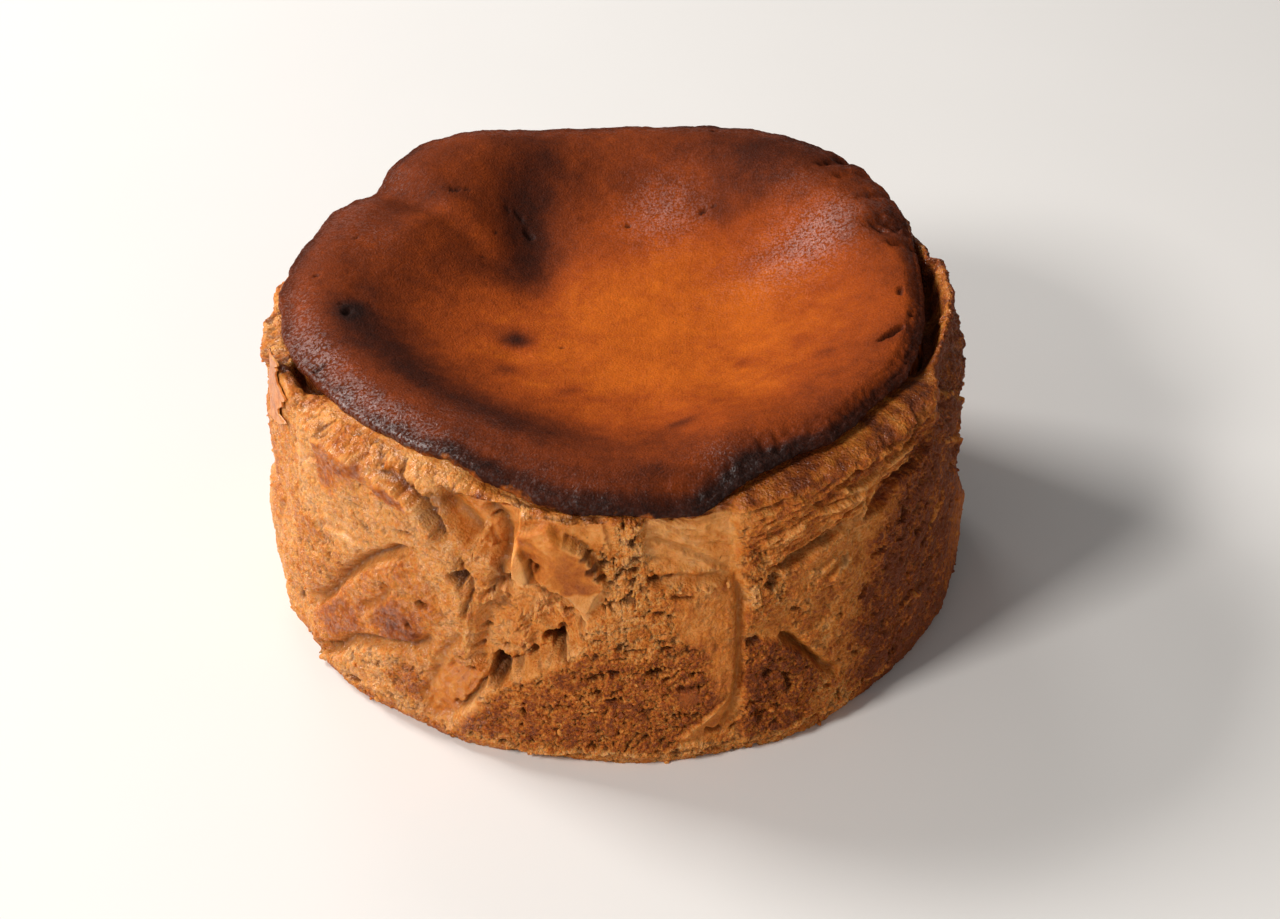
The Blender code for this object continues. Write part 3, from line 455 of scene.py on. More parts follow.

# Darker places of the crust, most of them burnt into it: x, y, half length, half width, turn, and how
# much.
BURNS_AND_SHADES = (
    (-16.8, -3.8, 2.5, 2.5, -60, 0.58), (-18.6, -2.4, 5.5, 4.0, -30, 0.16),
    (-17.8, -14.4, 2.4, 1.8, 10, 0.22), (-44.5, -6.6, 3.6, 2.6, 70, 0.40), (-42, 2, 2.4, 2.4, 0, 0.14),
    (-7.6, -21.2, 2.0, 1.4, 30, 0.22), (-9.4, -25, 1.5, 1.2, 0, 0.1), (10.6, -35.8, 2.6, 1.4, 30, 0.24),
    (21.4, -14.2, 1.9, 1.3, 50, 0.2), (35, -17.6, 1.8, 1.2, 0, 0.16), (10.5, -8.5, 1.3, 1.0, 0, 0.08),
    # The first here darkens the valley right of the hump, on its slope away from the light: painted shade.
    (-15, 23, 5.0, 12.0, 5, 0.46), (-19, 15.5, 6.0, 4.0, 0, 0.14), (-14, 42, 5.0, 12.0, 0, 0.16),
    (22.4, -51.0, 4.6, 3.4, 25, 0.46), (-8, -34, 2.4, 1.4, 0, 0.07), (6, -52, 3.0, 2.0, 0, 0.14),
    (48, 18, 3.0, 6.0, -20, 0.2), (28, 41, 13.0, 8.0, -30, 0.26), (18.6, 40.6, 1.4, 1.6, 0, 0.08),
    (-40, 27, 4.0, 4.5, 0, 0.06), (18.6, 29, 4.0, 5.0, 0, 0.14), (-35, 46, 5.0, 5.0, 0, 0.08),
    (31, -11, 1.5, 1.2, 0, 0.08), (46, -16.8, 4.0, 1.8, 42, 0.14),
)

# Dark arc in the front left of the dish: its middle line, width, and how much.
# The arc is partly burnt crust and partly painted shade on the rim's inner slope, which faces away from
# the light.
BURNT_AND_SHADED_ARC = ((-44, 5), (-43.5, -6), (-39, -14), (-33, -22), (-27, -29), (-19, -35.5), (-10, -40), (2, -42),
             (12, -42))
ARC_WIDTH = 6.0
ARC_BURN_AND_SHADE = 0.34
ARC_ENDS = (0.2, 0.4)    # shares of its way over which it fades at its ends

# Notches broken into the crust's edge at the rear right: azimuth, spread in azimuth, depth.
NOTCHES = ((134.0, 1.6, 0.9), (128.5, 1.2, 0.5), (120.5, 1.0, 0.5), (110.5, 3.0, 1.5), (103.0, 1.5, 0.7))

# How burnt the crust is at its lightest place, how much more it is far from that place, and the
# distances between which it darkens.
LIGHTEST_X, LIGHTEST_Y = 9.0, -5.0
LIGHTEST_BURN = 0.12
OUTER_BURN = 0.42
DARKENS_FROM, DARKENS_TO = 14.0, 56.0

# Where the crust shines: x, y, half length, half width, turn in degrees, and how much.
SHEEN = (
    (34, 17, 13, 7, 35, 0.8), (41, 20, 9, 4, 35, 0.6), (8.5, 31, 6, 7, 0, 0.9), (33, 32, 5, 3, 0, 0.2),
    (-34, -42, 5, 3, -40, 0.3), (16.5, -50, 4, 3, 20, 0.5), (-22, -38, 12, 5, -35, 0.25),
    (-47, 24, 6, 14, 30, 0.3),
)
DULL_SHEEN = 0.06        # of the crust elsewhere
EDGE_SHEEN = 0.12        # of its edge, and how much more in the glossy stretches
GLOSSY_SHEEN, GLOSSIEST_SHEEN = 0.50, 0.48


# ------------------------------------------------------------------------- plain number work

def smooth_step(low, high, value):
    """0 below low, 1 above high, and a smooth climb between."""
    share = np.clip((value - low) / (high - low), 0.0, 1.0)
    return share * share * (3.0 - 2.0 * share)


def blend(first, second, share):
    """first where share is 0, second where it is 1."""
    return first + (second - first) * share


def faded(along, start, end):
    """1 on a path, and smoothly to 0 over the shares start and end of its way."""
    return smooth_step(0.0, start, along) * smooth_step(1.0, 1.0 - end, along)


def scrambled(cells, seed):
    """A whole number for each cell of a grid, which looks random and is always the same."""
    key = seed * 7919
    for cell, prime in zip(cells, (73856093, 19349663, 83492791)):
        key = key ^ (cell * prime)
    key = (key ^ (key >> 13)) * 1274126177
    return key ^ (key >> 16)


def lumps(x, y, z, size, seed):
    """Rounded lumps of one size, between -1 and 1, from values on a grid of corners."""
    places = np.stack(np.broadcast_arrays(x, y, z)) / size
    corner = np.floor(places).astype(np.int64)
    share = smooth_step(0.0, 1.0, places - corner)
    total = np.zeros(places.shape[1:])
    for step in np.ndindex(2, 2, 2):
        weight = np.ones(places.shape[1:])
        for axis in range(3):
            weight = weight * (share[axis] if step[axis] else 1.0 - share[axis])
        key = scrambled([corner[axis] + step[axis] for axis in range(3)], seed)
        total += weight * ((key & 0xFFFF) / 32767.5 - 1.0)
    return total


def layers(x, y, z, size, seed, count=3):
    """Lumps of several sizes, each half as large and half as strong as the one before."""
    return sum(lumps(x, y, z, size / 2 ** n, seed + n) / 2 ** n for n in range(count))


def stones(x, y, z, size, seed):
    """Rubble of one size: domes with sharp creases between, which stand at different levels."""
    places = np.stack(np.broadcast_arrays(x, y, z)) / size
    corner = np.floor(places).astype(np.int64)
    nearest = np.full(places.shape[1:], 9.0)
    level = np.zeros(places.shape[1:])
    for step in np.ndindex(3, 3, 3):
        cell = [corner[axis] + step[axis] - 1 for axis in range(3)]
        key = scrambled(cell, seed)
        away = np.zeros(places.shape[1:])
        for axis in range(3):
            point = cell[axis] + ((key >> (5 * axis)) & 31) / 31.0
            away += (places[axis] - point) ** 2
        closer = away < nearest
        nearest = np.where(closer, away, nearest)
        level = np.where(closer, ((key >> 15) & 255) / 255.0, level)
    return 0.45 - 1.2 * nearest + 0.8 * (level - 0.5)


def on_side(azimuth, height):
    """Azimuth and height as lengths on the unrolled side, in millimetres."""
    return np.radians(np.asarray(azimuth, float)) * SIDE_RADIUS, np.asarray(height, float)


def unrolled(points):
    """Points given by azimuth and height, as lengths on the unrolled side."""
    return np.stack(on_side(*np.array(points, float).T), 1)


def around(azimuth, radius):
    """x and y of a place given by azimuth and radius."""
    turn = np.radians(azimuth)
    return radius * np.sin(turn), -radius * np.cos(turn)


def between(azimuth, start, full, fall, end):
    """1 from azimuth full to fall, and smoothly to 0 at start and end."""
    return smooth_step(start, full, azimuth) * smooth_step(end, fall, azimuth)


def rim_value(azimuth, column):
    """One column of RIM at any azimuth, on a smooth curve that closes round the cake."""
    rows = np.array(RIM)
    turns = np.concatenate([rows[:, 0] - 360.0, rows[:, 0], rows[:, 0] + 360.0])
    values = np.tile(rows[:, column], 3)
    slopes = np.gradient(values, turns)
    index = np.clip(np.searchsorted(turns, azimuth) - 1, 0, len(turns) - 2)
    step = turns[index + 1] - turns[index]
    share = (azimuth - turns[index]) / step
    climb = smooth_step(0.0, 1.0, share)
    leave = step * slopes[index] * share * (1.0 - share) ** 2
    arrive = step * slopes[index + 1] * (share - 1.0) * share ** 2
    return values[index] + (values[index + 1] - values[index]) * climb + leave + arrive


def nearest_on_path(x, y, path):
    """Distance to a path, above 0 on the left of its run, and the share of the way along it."""
    path = np.asarray(path, float)
    lengths = np.hypot(*np.diff(path, axis=0).T)
    starts = np.concatenate([[0.0], np.cumsum(lengths)])
    away = np.full(np.shape(x), np.inf)
    turn = np.ones(np.shape(x))
    along = np.zeros(np.shape(x))
    for (x0, y0), (x1, y1), length, start in zip(path, path[1:], lengths, starts):
        run, rise = (x1 - x0) / length, (y1 - y0) / length
        reached = np.clip((x - x0) * run + (y - y0) * rise, 0.0, length)
        distance = np.hypot(x - x0 - reached * run, y - y0 - reached * rise)
        closer = distance < away
        away = np.where(closer, distance, away)
        turn = np.where(closer, np.sign(run * (y - y0) - rise * (x - x0)), turn)
        along = np.where(closer, start + reached, along)
    return away * turn, along / starts[-1]


def inside_outline(across, up, corners):
    """Distance in from a closed outline on the unrolled side, negative outside it."""
    distance = np.abs(nearest_on_path(across, up, unrolled(corners + corners[:1]))[0])
    line_x, line_z = unrolled(corners).T
    odd = np.zeros(np.shape(across), bool)
    for x0, z0, x1, z1 in zip(line_x, line_z, np.roll(line_x, -1), np.roll(line_z, -1)):
        if z0 == z1:
            continue
        spans = (z0 > up) != (z1 > up)
        odd ^= spans & (across < x0 + (up - z0) / (z1 - z0) * (x1 - x0))
    return np.where(odd, distance, -distance)


def oval(x, y, middle_x, middle_y, half_length, half_width, turn):
    """Distance from the middle of a turned oval, 1 on its edge."""
    cosine, sine = np.cos(np.radians(turn)), np.sin(np.radians(turn))
    along = (x - middle_x) * cosine + (y - middle_y) * sine
    aside = (y - middle_y) * cosine - (x - middle_x) * sine
    return np.hypot(along / half_length, aside / half_width)


# ------------------------------------------------------------------------- the side

def hidden_folds(azimuth, height):
    """Where the folds of the back show, their relief, and how porous and how brown they are."""
    draw = np.random.default_rng(SEED)
    fold_azimuths = draw.uniform(-180, 180, FOLD_COUNT)
    fold_heights = draw.uniform(0, 52, FOLD_COUNT)
    lifts = draw.uniform(-FOLD_HEIGHT, FOLD_HEIGHT, FOLD_COUNT)
    slopes = draw.uniform(-FOLD_SLOPE, FOLD_SLOPE, (FOLD_COUNT, 2))
    x, y = around(azimuth, SIDE_RADIUS)
    bend = 1.8 * lumps(x, y, height, 9.0, SEED + 90) + 0.7 * lumps(x, y, height, 3.0, SEED + 91)
    turn = (azimuth[:, None] + bend[:, None] - fold_azimuths + 180.0) % 360.0 - 180.0
    away_x, away_z = on_side(turn, (height - bend)[:, None] - fold_heights)
    distances = np.hypot(away_x, 1.25 * away_z)
    facets = lifts + slopes[:, 0] * away_x + slopes[:, 1] * away_z
    order = np.argsort(distances, axis=1)
    first, second = np.take_along_axis(distances, order[:, :2], 1).T
    level = np.take_along_axis(facets, order[:, :1], 1)[:, 0]
    border = np.exp(-(((second - first) / FOLD_CREASE_WIDTH) ** 2))
    shared = 0.5 * smooth_step(6.0, 0.0, second - first)
    raised = blend(lifts[order[:, 0]], lifts[order[:, 1]], shared) / FOLD_HEIGHT
    patches = layers(x, y, height, 15.0, SEED + 92, 3)
    shown = smooth_step(HIDDEN_FROM, HIDDEN_FULL, np.abs(azimuth))
    relief = level * (1.0 - border) - FOLD_CREASE_DEPTH * border
    brown = 0.46 + 0.16 * raised + 0.26 * patches - 0.12 * border
    brown = brown + 0.34 * between(azimuth, *BROWNED_FAR_SIDE)
    return shown, shown * relief, np.clip(0.55 + 0.25 * raised + 0.25 * patches, 0.1, 1.0), brown


def baked_plates(azimuth, height):
    """Relief of the plates, creases and holes, how porous and brown the side is, and its painted shade."""
    across, up = on_side(azimuth, height)
    relief = 0.5 * np.sin(np.radians(3 * azimuth + 40)) * np.sin(height / 14.0)
    pores = np.full(np.shape(relief), BARE_PORES)
    brown = np.full(np.shape(relief), BARE_BROWN)
    ragged_x = across + 0.5 * layers(across, up, 0.0, 6.0, SEED + 80, 2) + 0.35 * layers(
        across, up, 4.0, 1.6, SEED + 81, 2)
    ragged_z = up + 0.6 * layers(across, up, 8.0, 6.0, SEED + 83, 2) + 0.35 * layers(
        across, up, 9.0, 1.6, SEED + 84, 2)
    for lift, soft, pad_pores, pad_brown, corners in PADS.values():
        share = min(soft + 0.1, 1.0)
        cover = smooth_step(-soft, soft, inside_outline(
            blend(across, ragged_x, share), blend(up, ragged_z, share), corners))
        relief = relief + lift * cover
        pores = blend(pores, pad_pores, cover)
        brown = blend(brown, pad_brown, cover)
    for soft, zone_pores, zone_brown, corners in ZONES.values():
        cover = smooth_step(-soft, soft, inside_outline(ragged_x, ragged_z, corners))
        pores = blend(pores, zone_pores, cover)
        brown = blend(brown, zone_brown, cover)
    deep = np.zeros_like(relief)
    for width, depth, points in CREASES:
        away, along = nearest_on_path(
            0.5 * (across + ragged_x), 0.5 * (up + ragged_z), unrolled(points))
        line = faded(along, CREASE_END, CREASE_END) * np.exp(-((away / width) ** 2))
        relief = relief - depth * line
        pores = pores * (1.0 - 0.8 * line)
        brown = brown * (1.0 - 0.3 * line)
        # painted shade along the crease
        deep = np.maximum(deep, 0.46 * depth * line ** 2)
    for hole_azimuth, hole_height, half_width, half_height, depth in HOLES:
        hole_x, hole_z = on_side(hole_azimuth, hole_height)
        reach = oval(ragged_x, ragged_z, hole_x, hole_z, half_width, half_height, 0.0)
        cut = smooth_step(1.35, 0.85, reach + 0.35 * lumps(across, up, 6.0, 0.9, SEED + 85))
        relief = relief - depth * cut
        # painted shade in the hole
        deep = np.maximum(deep, 1.2 * cut)
    shown, fold_relief, fold_pores, fold_brown = hidden_folds(azimuth, height)
    return relief + fold_relief, blend(pores, fold_pores, shown), blend(brown, fold_brown, shown), deep


def torn_edges(across, up):
    """Relief of torn layers, drifts, cracks and small hollows, how pale they are, and their painted shade.
    """
    ragged_x = across + 0.40 * lumps(across, up, 3.0, 1.7, SEED + 11) + 0.2 * lumps(
        across, up, 5.0, 0.7, SEED + 13)
    ragged_z = up + 0.40 * lumps(across, up, 9.0, 1.7, SEED + 12) + 0.2 * lumps(
        across, up, 7.0, 0.7, SEED + 14)
    relief = np.zeros_like(across)
    pale = np.zeros_like(across)
    deep = np.zeros_like(across)
    for lift, fade, points in LEDGES:
        signed, along = nearest_on_path(ragged_x, ragged_z, unrolled(points))
        ends = faded(along, LEDGE_END, LEDGE_END)
        layer = smooth_step(-0.15, 0.25, signed) * np.exp(-np.maximum(signed, 0.0) / fade)
        under = np.exp(-(((signed + 0.5) / 0.4) ** 2))
        relief += ends * (lift * layer - 0.35 * lift * under)
        # A paler line along each ledge's edge: partly paler torn crumb, partly a painted highlight where
        # the edge faces the light.
        pale = np.maximum(pale, ends * np.exp(-(((signed - 0.35) / 0.45) ** 2)))
        # painted shade in the groove under the ledge's edge
        deep = np.maximum(deep, 0.5 * lift * ends * under)
    rough = 0.5 + stones(across, up, 2.0, 1.2, SEED + 19) + 0.6 * stones(across, up, 4.0, 0.6, SEED + 20)
    for height, width, points in DRIFTS:
        away, _ = nearest_on_path(ragged_x, ragged_z, unrolled(points))
        drift = np.exp(-((away / width) ** 4))
        relief += height * drift * np.maximum(rough, 0.0)
        pale = np.maximum(pale, 1.4 * drift)
    for width, depth, points in CRACKS:
        away, along = nearest_on_path(ragged_x, ragged_z, unrolled(points))
        line = faded(along, CRACK_END, CRACK_END) * np.exp(-((away / width) ** 2))
        relief -= depth * line
        # painted shade in the crack
        deep = np.maximum(deep, 0.75 * line)
    frayed = 0.35 * lumps(across, up, 6.0, 0.9, SEED + 21)
    for pit_azimuth, pit_height, half_width, half_height, depth in PITS:
        pit_x, pit_z = on_side(pit_azimuth, pit_height)
        reach = frayed + oval(ragged_x, ragged_z, pit_x, pit_z, half_width, half_height, 0.0)
        cut = smooth_step(1.4, 0.6, reach)
        relief -= depth * cut
        # painted shade in the pit
        deep = np.maximum(deep, 0.65 * depth * cut)
    return relief, pale, deep


def streaks(across, up):
    """Relief of the torn crumb's grain, and where it is."""
    relief = np.zeros_like(across)
    cover = np.zeros_like(across)
    for number, (depth, width, stretch, slope, soft, corners) in enumerate(STREAKS):
        inside = smooth_step(-soft, soft, inside_outline(across, up, corners))
        cosine, sine = np.cos(np.radians(slope)), np.sin(np.radians(slope))
        wander = 1.2 * lumps(across, up, 50.0 + number, 6.0, SEED + 60)
        along = (across * cosine + up * sine) / stretch
        aside = up * cosine - across * sine + wander
        folds = layers(along, aside, 9.0 * number, width, SEED + 61, 3)
        relief += inside * depth * (0.55 - 1.6 * np.abs(folds))
        cover = np.maximum(cover, inside)
    return relief, cover


def crumb(azimuth, height, pores):
    """Relief of the crumb, how flat it was pressed, and the painted shade in its pores.

    It is rubble of three sizes, flattened where it stood against the paper.
    """
    x, y = around(azimuth, SIDE_RADIUS)
    z = 1.15 * height
    bend = 0.5 * lumps(x, y, z, 1.9, SEED + 23)
    loose = 0.40 * stones(x + bend, y - bend, z + bend, 2.1, SEED + 3)
    loose += 0.36 * stones(x - bend, y + bend, z + bend, 1.05, SEED + 4)
    loose += 0.28 * stones(x, y, z, 0.55, SEED + 5)
    plate = 0.18 + 0.14 * lumps(x, y, height, 4.0, SEED + 6)
    pressed = smooth_step(plate - 0.14, plate + 0.04, loose)
    rubble = loose + 0.5 * (plate - loose) * pressed
    mouths = layers(x, y, 1.5 * height, 2.4, SEED + 8, 2) - 1.2 * loose
    limit = 1.15 - 0.45 * pores
    pocket = smooth_step(limit, limit + 0.25, mouths)
    blisters = 0.20 * between(azimuth, *BLISTERED_SIDE) * stones(x, y, height, 1.1, SEED + 25)
    soft = 0.12 * layers(x, y, height, 2.4, SEED + 24, 2) + blisters
    relief = (0.10 + 1.25 * pores) * rubble - 0.8 * pores * pocket + (1.0 - pores) * soft
    # painted shade in the pores and between the lumps of rubble
    deep = np.maximum(0.9 * pocket, (0.1 + pores) * smooth_step(0.08, -0.3, loose) * 0.9)
    return relief, pressed, deep


def side_surface(azimuth, height):
    """Radius of the baked side, the fine relief on it, how porous and brown it is, and its painted shade.
    """
    across, up = on_side(azimuth, height)
    barrel = SIDE_RADIUS - BARREL * ((height - WIDEST_HEIGHT) / WIDEST_HEIGHT) ** 2
    rounding = FOOT_ROUND * np.clip(1.0 - height / FOOT_ROUND_HEIGHT, 0.0, 1.0) ** 2
    wobble = 0.5 * np.sin(np.radians(7 * azimuth)) + 0.35 * np.sin(np.radians(13 * azimuth + 70))
    for form_azimuth, spread, out in FOOT_FORMS:
        wobble = wobble + out * np.exp(-(((azimuth - form_azimuth) / spread) ** 2))
    x, y = around(azimuth, SIDE_RADIUS)
    bulges = 0.35 * lumps(x, y, height, CRUMB_SIZE, SEED)
    plates, pores, brown, deep = baked_plates(azimuth, height)
    tears, pale, tear_shade = torn_edges(across, up)
    folds, grained = streaks(across, up)
    rubble, pressed, pore_shade = crumb(azimuth, height, pores)
    radius = barrel - rounding + wobble * np.exp(-height / FLAT_FOOT)
    radius = radius + smooth_step(0.0, FLAT_FOOT, height) * (plates + bulges)
    fine = smooth_step(-1.2, 0.6, height) * (rubble + tears + folds)
    # Pale places lose their brown; along the ledges this is partly a painted highlight.
    brown = brown * (1.0 - 0.6 * np.minimum(pale, 1.2)) + pores * (0.36 * pressed - 0.30)
    brown = brown - 0.35 * folds * grained + 0.05 + 0.11 * between(azimuth, *BROWNED_SIDE)
    brown = brown - 0.06 * between(azimuth, *PALER_SIDE)
    # darker just under the lip on the right: partly painted shade
    brown = brown + 0.28 * between(azimuth, *BROWNED_AND_SHADED_UPPER_SIDE) * smooth_step(*UPPER_SIDE, height)
    deep = np.clip(np.maximum(np.maximum(deep, tear_shade), pore_shade), 0.0, 1.0)
    return radius, fine, pores, brown, deep


def gap_value(azimuth, column):
    """How deep the gaps go, or how near to the skin their floor lies, at any azimuth."""
    return sum(gap[column] * np.exp(-(((azimuth - gap[0]) / gap[1]) ** 4)) for gap in GAPS)


def lip_thickness(azimuth):
    """Of the crust at its edge."""
    return LIP_THICKNESS + THICK_LIP * between(azimuth, *THICK_EDGE)


def crest_radius(azimuth):
    """Radius of the crest of the rim."""
    return rim_value(azimuth, REACH) - blend(LIP_ROLL, STEEP_ROLL, between(azimuth, *STEEP_EDGE))


def lip_reach(azimuth):
    """Radius of the lip's ragged tip."""
    x, y = around(azimuth, SIDE_RADIUS)
    ragged = LIP_RAGGED * (1.0 - 0.7 * between(azimuth, *CALM_EDGE))
    return rim_value(azimuth, REACH) + ragged * lumps(x, y, 0.0, 3.0, SEED + 2)


def groove(azimuth):
    """Radius and height of the deepest line under the lip, or in a gap."""
    filled = between(azimuth, *FILLED_GROOVE)
    radius = lip_reach(azimuth) - GROOVE_REACH * (1.0 - 0.75 * filled) + gap_value(azimuth, 3)
    floor = rim_value(azimuth, UNDER) - GROOVE_DEPTH * (1.0 - 2.2 * filled)
    return radius, floor - gap_value(azimuth, 2)


def side_and_shoulder(place, azimuth):
    """The side for places 0 to 1, and its shoulder in to the groove for places 1 to 2."""
    edge = rim_value(azimuth, EDGE)
    height = np.clip(place, 0.0, 1.0) * edge
    share = np.clip(place - 1.0, 0.0, 1.0)
    radius, fine, pores, brown, deep = side_surface(azimuth, height + SHOULDER_RUN * share)
    fine = fine * smooth_step(0.7, 0.0, share)
    groove_radius, floor = groove(azimuth)
    gaping = np.clip(gap_value(azimuth, 2) / WIDE_GAP, 0.0, 1.0)
    change = blend(share, smooth_step(0.15, 0.75, share), gaping)
    rounded = 0.6 * np.sin(np.pi * share) * smooth_step(1.0, 0.5, share)
    x, y = around(azimuth, SIDE_RADIUS - SHOULDER_RUN * share)
    band = edge + SHOULDER_BAND * share
    rubble = 0.6 * stones(x, y, band, 2.2, SEED + 15) + 0.25 * stones(x, y, band, 1.0, SEED + 16)
    rubble += 0.4 * lumps(x, y, band, 3.5, SEED + 18)
    over = smooth_step(0.0, 0.12, share)
    smooth_skin = between(azimuth, *SMOOTH_SHOULDER)
    rubble = (0.9 - 0.7 * smooth_skin) * rubble * np.sin(np.pi * np.clip(0.15 + share, 0, 1)) * over
    height = blend(height, floor, change) + rounded + rubble
    radius = blend(radius, groove_radius, share) + fine + 0.5 * rubble
    x, y = around(azimuth, SIDE_RADIUS)
    # The gaps and the right's smooth skin under the lip are browner: partly painted shade under the lip.
    baked = 0.36 * np.maximum(gaping, smooth_skin) + 0.35 * layers(x, y, height, 2.5, SEED + 17, 2)
    brown = blend(brown, SHOULDER_BROWN + baked, over)
    crack = between(azimuth, *SHADED_SHOULDER) * smooth_step(0.5, 0.9, share)
    shaded = 0.75 * np.maximum(gaping * share, crack) + 0.8 * smooth_step(0.05, -0.25, rubble)
    # painted shade in the gaps, in the crack under the front lip and between the shoulder's lumps
    deep = blend(deep, shaded, over)
    moist = 0.15 + 0.85 * np.maximum(between(azimuth, *MOIST_SIDE), 0.7 * over)
    return radius, height, {"pores": pores, "brown": brown, "deep": deep, "moist": moist}


# ------------------------------------------------------------------------- the crust

def lip_surface(place, azimuth):
    """The crust from its crest at 0, out round its tip and back under it to the groove at 1."""
    groove_radius, floor = groove(azimuth)
    reach, under = lip_reach(azimuth), rim_value(azimuth, UNDER)
    nose = 0.5 * lip_thickness(azimuth)
    share = 1.0 - place
    out = smooth_step(0.0, 0.25, share)
    bend = np.clip((share - 0.25) / 0.25, 0.0, 1.0) * np.pi
    climb = np.clip((share - 0.5) / 0.5, 0.0, 1.0)
    radius = blend(groove_radius, reach - nose, out) + nose * np.sin(bend)
    height = blend(floor, under, out) + nose * (1.0 - np.cos(bend))
    rise = rim_value(azimuth, CREST) - under - 2.0 * nose
    roll = reach - nose - crest_radius(azimuth)
    return radius - roll * climb, height + rise * np.sin(0.5 * np.pi * climb)


def dish_surface(out, azimuth):
    """The sunken top, from its middle at 0 out to the crest of the rim at 1."""
    radius = out * crest_radius(azimuth)
    rise = rim_value(azimuth, CREST) - DISH_HEIGHT
    bowl = DISH_HEIGHT + rise * np.sin(0.5 * np.pi * out ** DISH_POWER)
    calm = 1.0 - smooth_step(0.8, 1.0, out)
    x, y = around(azimuth, radius)
    forms = np.zeros_like(x)
    for form_x, form_y, half_length, half_width, turn, lift in TOP_FORMS:
        forms += lift * np.exp(-(oval(x, y, form_x, form_y, half_length, half_width, turn) ** 2))
    return radius, bowl + calm * forms


def crust_relief(x, y, azimuth, rim):
    """Height of the crust's wrinkles, notches and pinholes, and where its pinholes are painted with shade.

    rim is 0 in the dish and 1 at the tip of the lip.
    """
    wrinkled = between(azimuth, *WRINKLED_LIP)
    edge = smooth_step(0.3, 0.8, rim)
    relief = 0.10 * layers(x, y, 0.0, 7.0, SEED + 30) + 0.03 * lumps(x, y, 0.0, 0.9, SEED + 33)
    folds = 1.0 - np.abs(layers(x, y, 0.0, 2.6, SEED + 35, 2))
    relief += edge * (0.12 + 0.26 * wrinkled) * (folds - 0.55)
    relief += edge * (0.08 + 0.22 * wrinkled) * stones(x, y, 0.0, 1.0, SEED + 37)
    relief += 0.05 * stones(x, y, 0.0, 1.1, SEED + 39)
    broken = 1.0 + 0.8 * lumps(x, y, 0.0, 1.3, SEED + 41)
    for notch, spread, depth in NOTCHES:
        cut = np.exp(-(((azimuth - notch) / spread) ** 2)) * smooth_step(0.15, 0.4, rim)
        relief -= depth * broken * cut
    pit_shade = np.zeros_like(x)
    for pit in TOP_PITS:
        reach = oval(x, y, *pit[:5]) + 0.3 * lumps(x, y, 0.0, 0.6, SEED + 38)
        relief -= 0.8 * pit[5] * smooth_step(1.4, 0.7, reach)
        pit_shade = np.maximum(pit_shade, smooth_step(1.4, 0.8, reach))
    return relief, pit_shade


def crust_burn_and_shade(x, y, azimuth, rim):
    """How dark the crust is, from 0 orange to 1 black-brown: mostly burnt, partly painted shade."""
    away = np.hypot(x - LIGHTEST_X, 1.1 * (y - LIGHTEST_Y))
    burn = LIGHTEST_BURN + OUTER_BURN * smooth_step(DARKENS_FROM, DARKENS_TO, away)
    arc, along = nearest_on_path(x, y, BURNT_AND_SHADED_ARC)
    # partly painted shade: the arc lies on the rim's inner slope that faces away from the light
    burn += ARC_BURN_AND_SHADE * faded(along, *ARC_ENDS) * np.exp(-((arc / ARC_WIDTH) ** 2))
    for spot in BURNS_AND_SHADES:
        burn += spot[5] * np.exp(-(oval(x, y, *spot[:5]) ** 2))
    charred = between(azimuth, *CHARRED_LIP)
    tip = smooth_step(0.72, 1.0, rim)
    burn += tip * (0.14 + 0.18 * charred + 0.12 * between(azimuth, *BROWNED_LIP))
    burn += 0.12 * between(azimuth, *DARKEST_FRONT_LIP) * smooth_step(0.2, 0.6, rim)
    burn += 0.04 * charred * smooth_step(0.2, 0.7, rim)
    burn += 0.07 * layers(x, y, 0.0, 8.0, SEED + 40) + 0.05 * layers(x, y, 0.0, 2.4, SEED + 44)
    return np.clip(burn, 0.0, 1.0)


def crust_gloss(x, y, azimuth, rim):
    """How much the crust shines: where SHEEN says, and on its edge."""
    sheen = DULL_SHEEN + sum(spot[5] * np.exp(-(oval(x, y, *spot[:5]) ** 2)) for spot in SHEEN)
    edge = EDGE_SHEEN + GLOSSY_SHEEN * between(azimuth, *GLOSSY_LIP)
    edge = edge + GLOSSIEST_SHEEN * between(azimuth, *GLOSSIEST_LIP)
    return np.clip(sheen + edge * smooth_step(0.3, 0.7, rim), 0.0, 1.0)


# ------------------------------------------------------------------------- mesh helpers

def deselect():
    bpy.ops.object.select_all(action="DESELECT")


def pick(piece):
    """Select the piece alone and make it the active one."""
    deselect()
    piece.select_set(True)
    bpy.context.view_layer.objects.active = piece


def start_edit(piece):
    pick(piece)
    bpy.ops.object.mode_set(mode="EDIT")


def select_edges(piece, wanted):
    """Select only the edges that the test wanted picks."""
    bpy.ops.mesh.select_mode(type="EDGE")
    bpy.ops.mesh.select_all(action="DESELECT")
    shape = bmesh.from_edit_mesh(piece.data)
    for edge in shape.edges:
        if wanted(edge):
            edge.select_set(True)
    bmesh.update_edit_mesh(piece.data)


def read_points(piece):
    flat = np.empty(len(piece.data.vertices) * 3)
    piece.data.vertices.foreach_get("co", flat)
    return flat.reshape(-1, 3)


def write_points(piece, points):
    piece.data.vertices.foreach_set("co", np.ascontiguousarray(points, float).ravel())
    piece.data.update()


def keep_values(piece, values):
    """Store named numbers, one for each vertex, where the materials can read them."""
    for name, numbers in values.items():
        kept = piece.data.attributes.new(name, "FLOAT", "POINT")
        kept.data.foreach_set("value", np.asarray(numbers, float))


def to_model(points):
    """Millimetres about the cake's own axis to metres in the frame, kept inside its box."""
    low, high = (np.array(corner) for corner in cad_box)
    return np.clip((points + SHIFT) * MM, low + BOX_MARGIN, high - BOX_MARGIN)


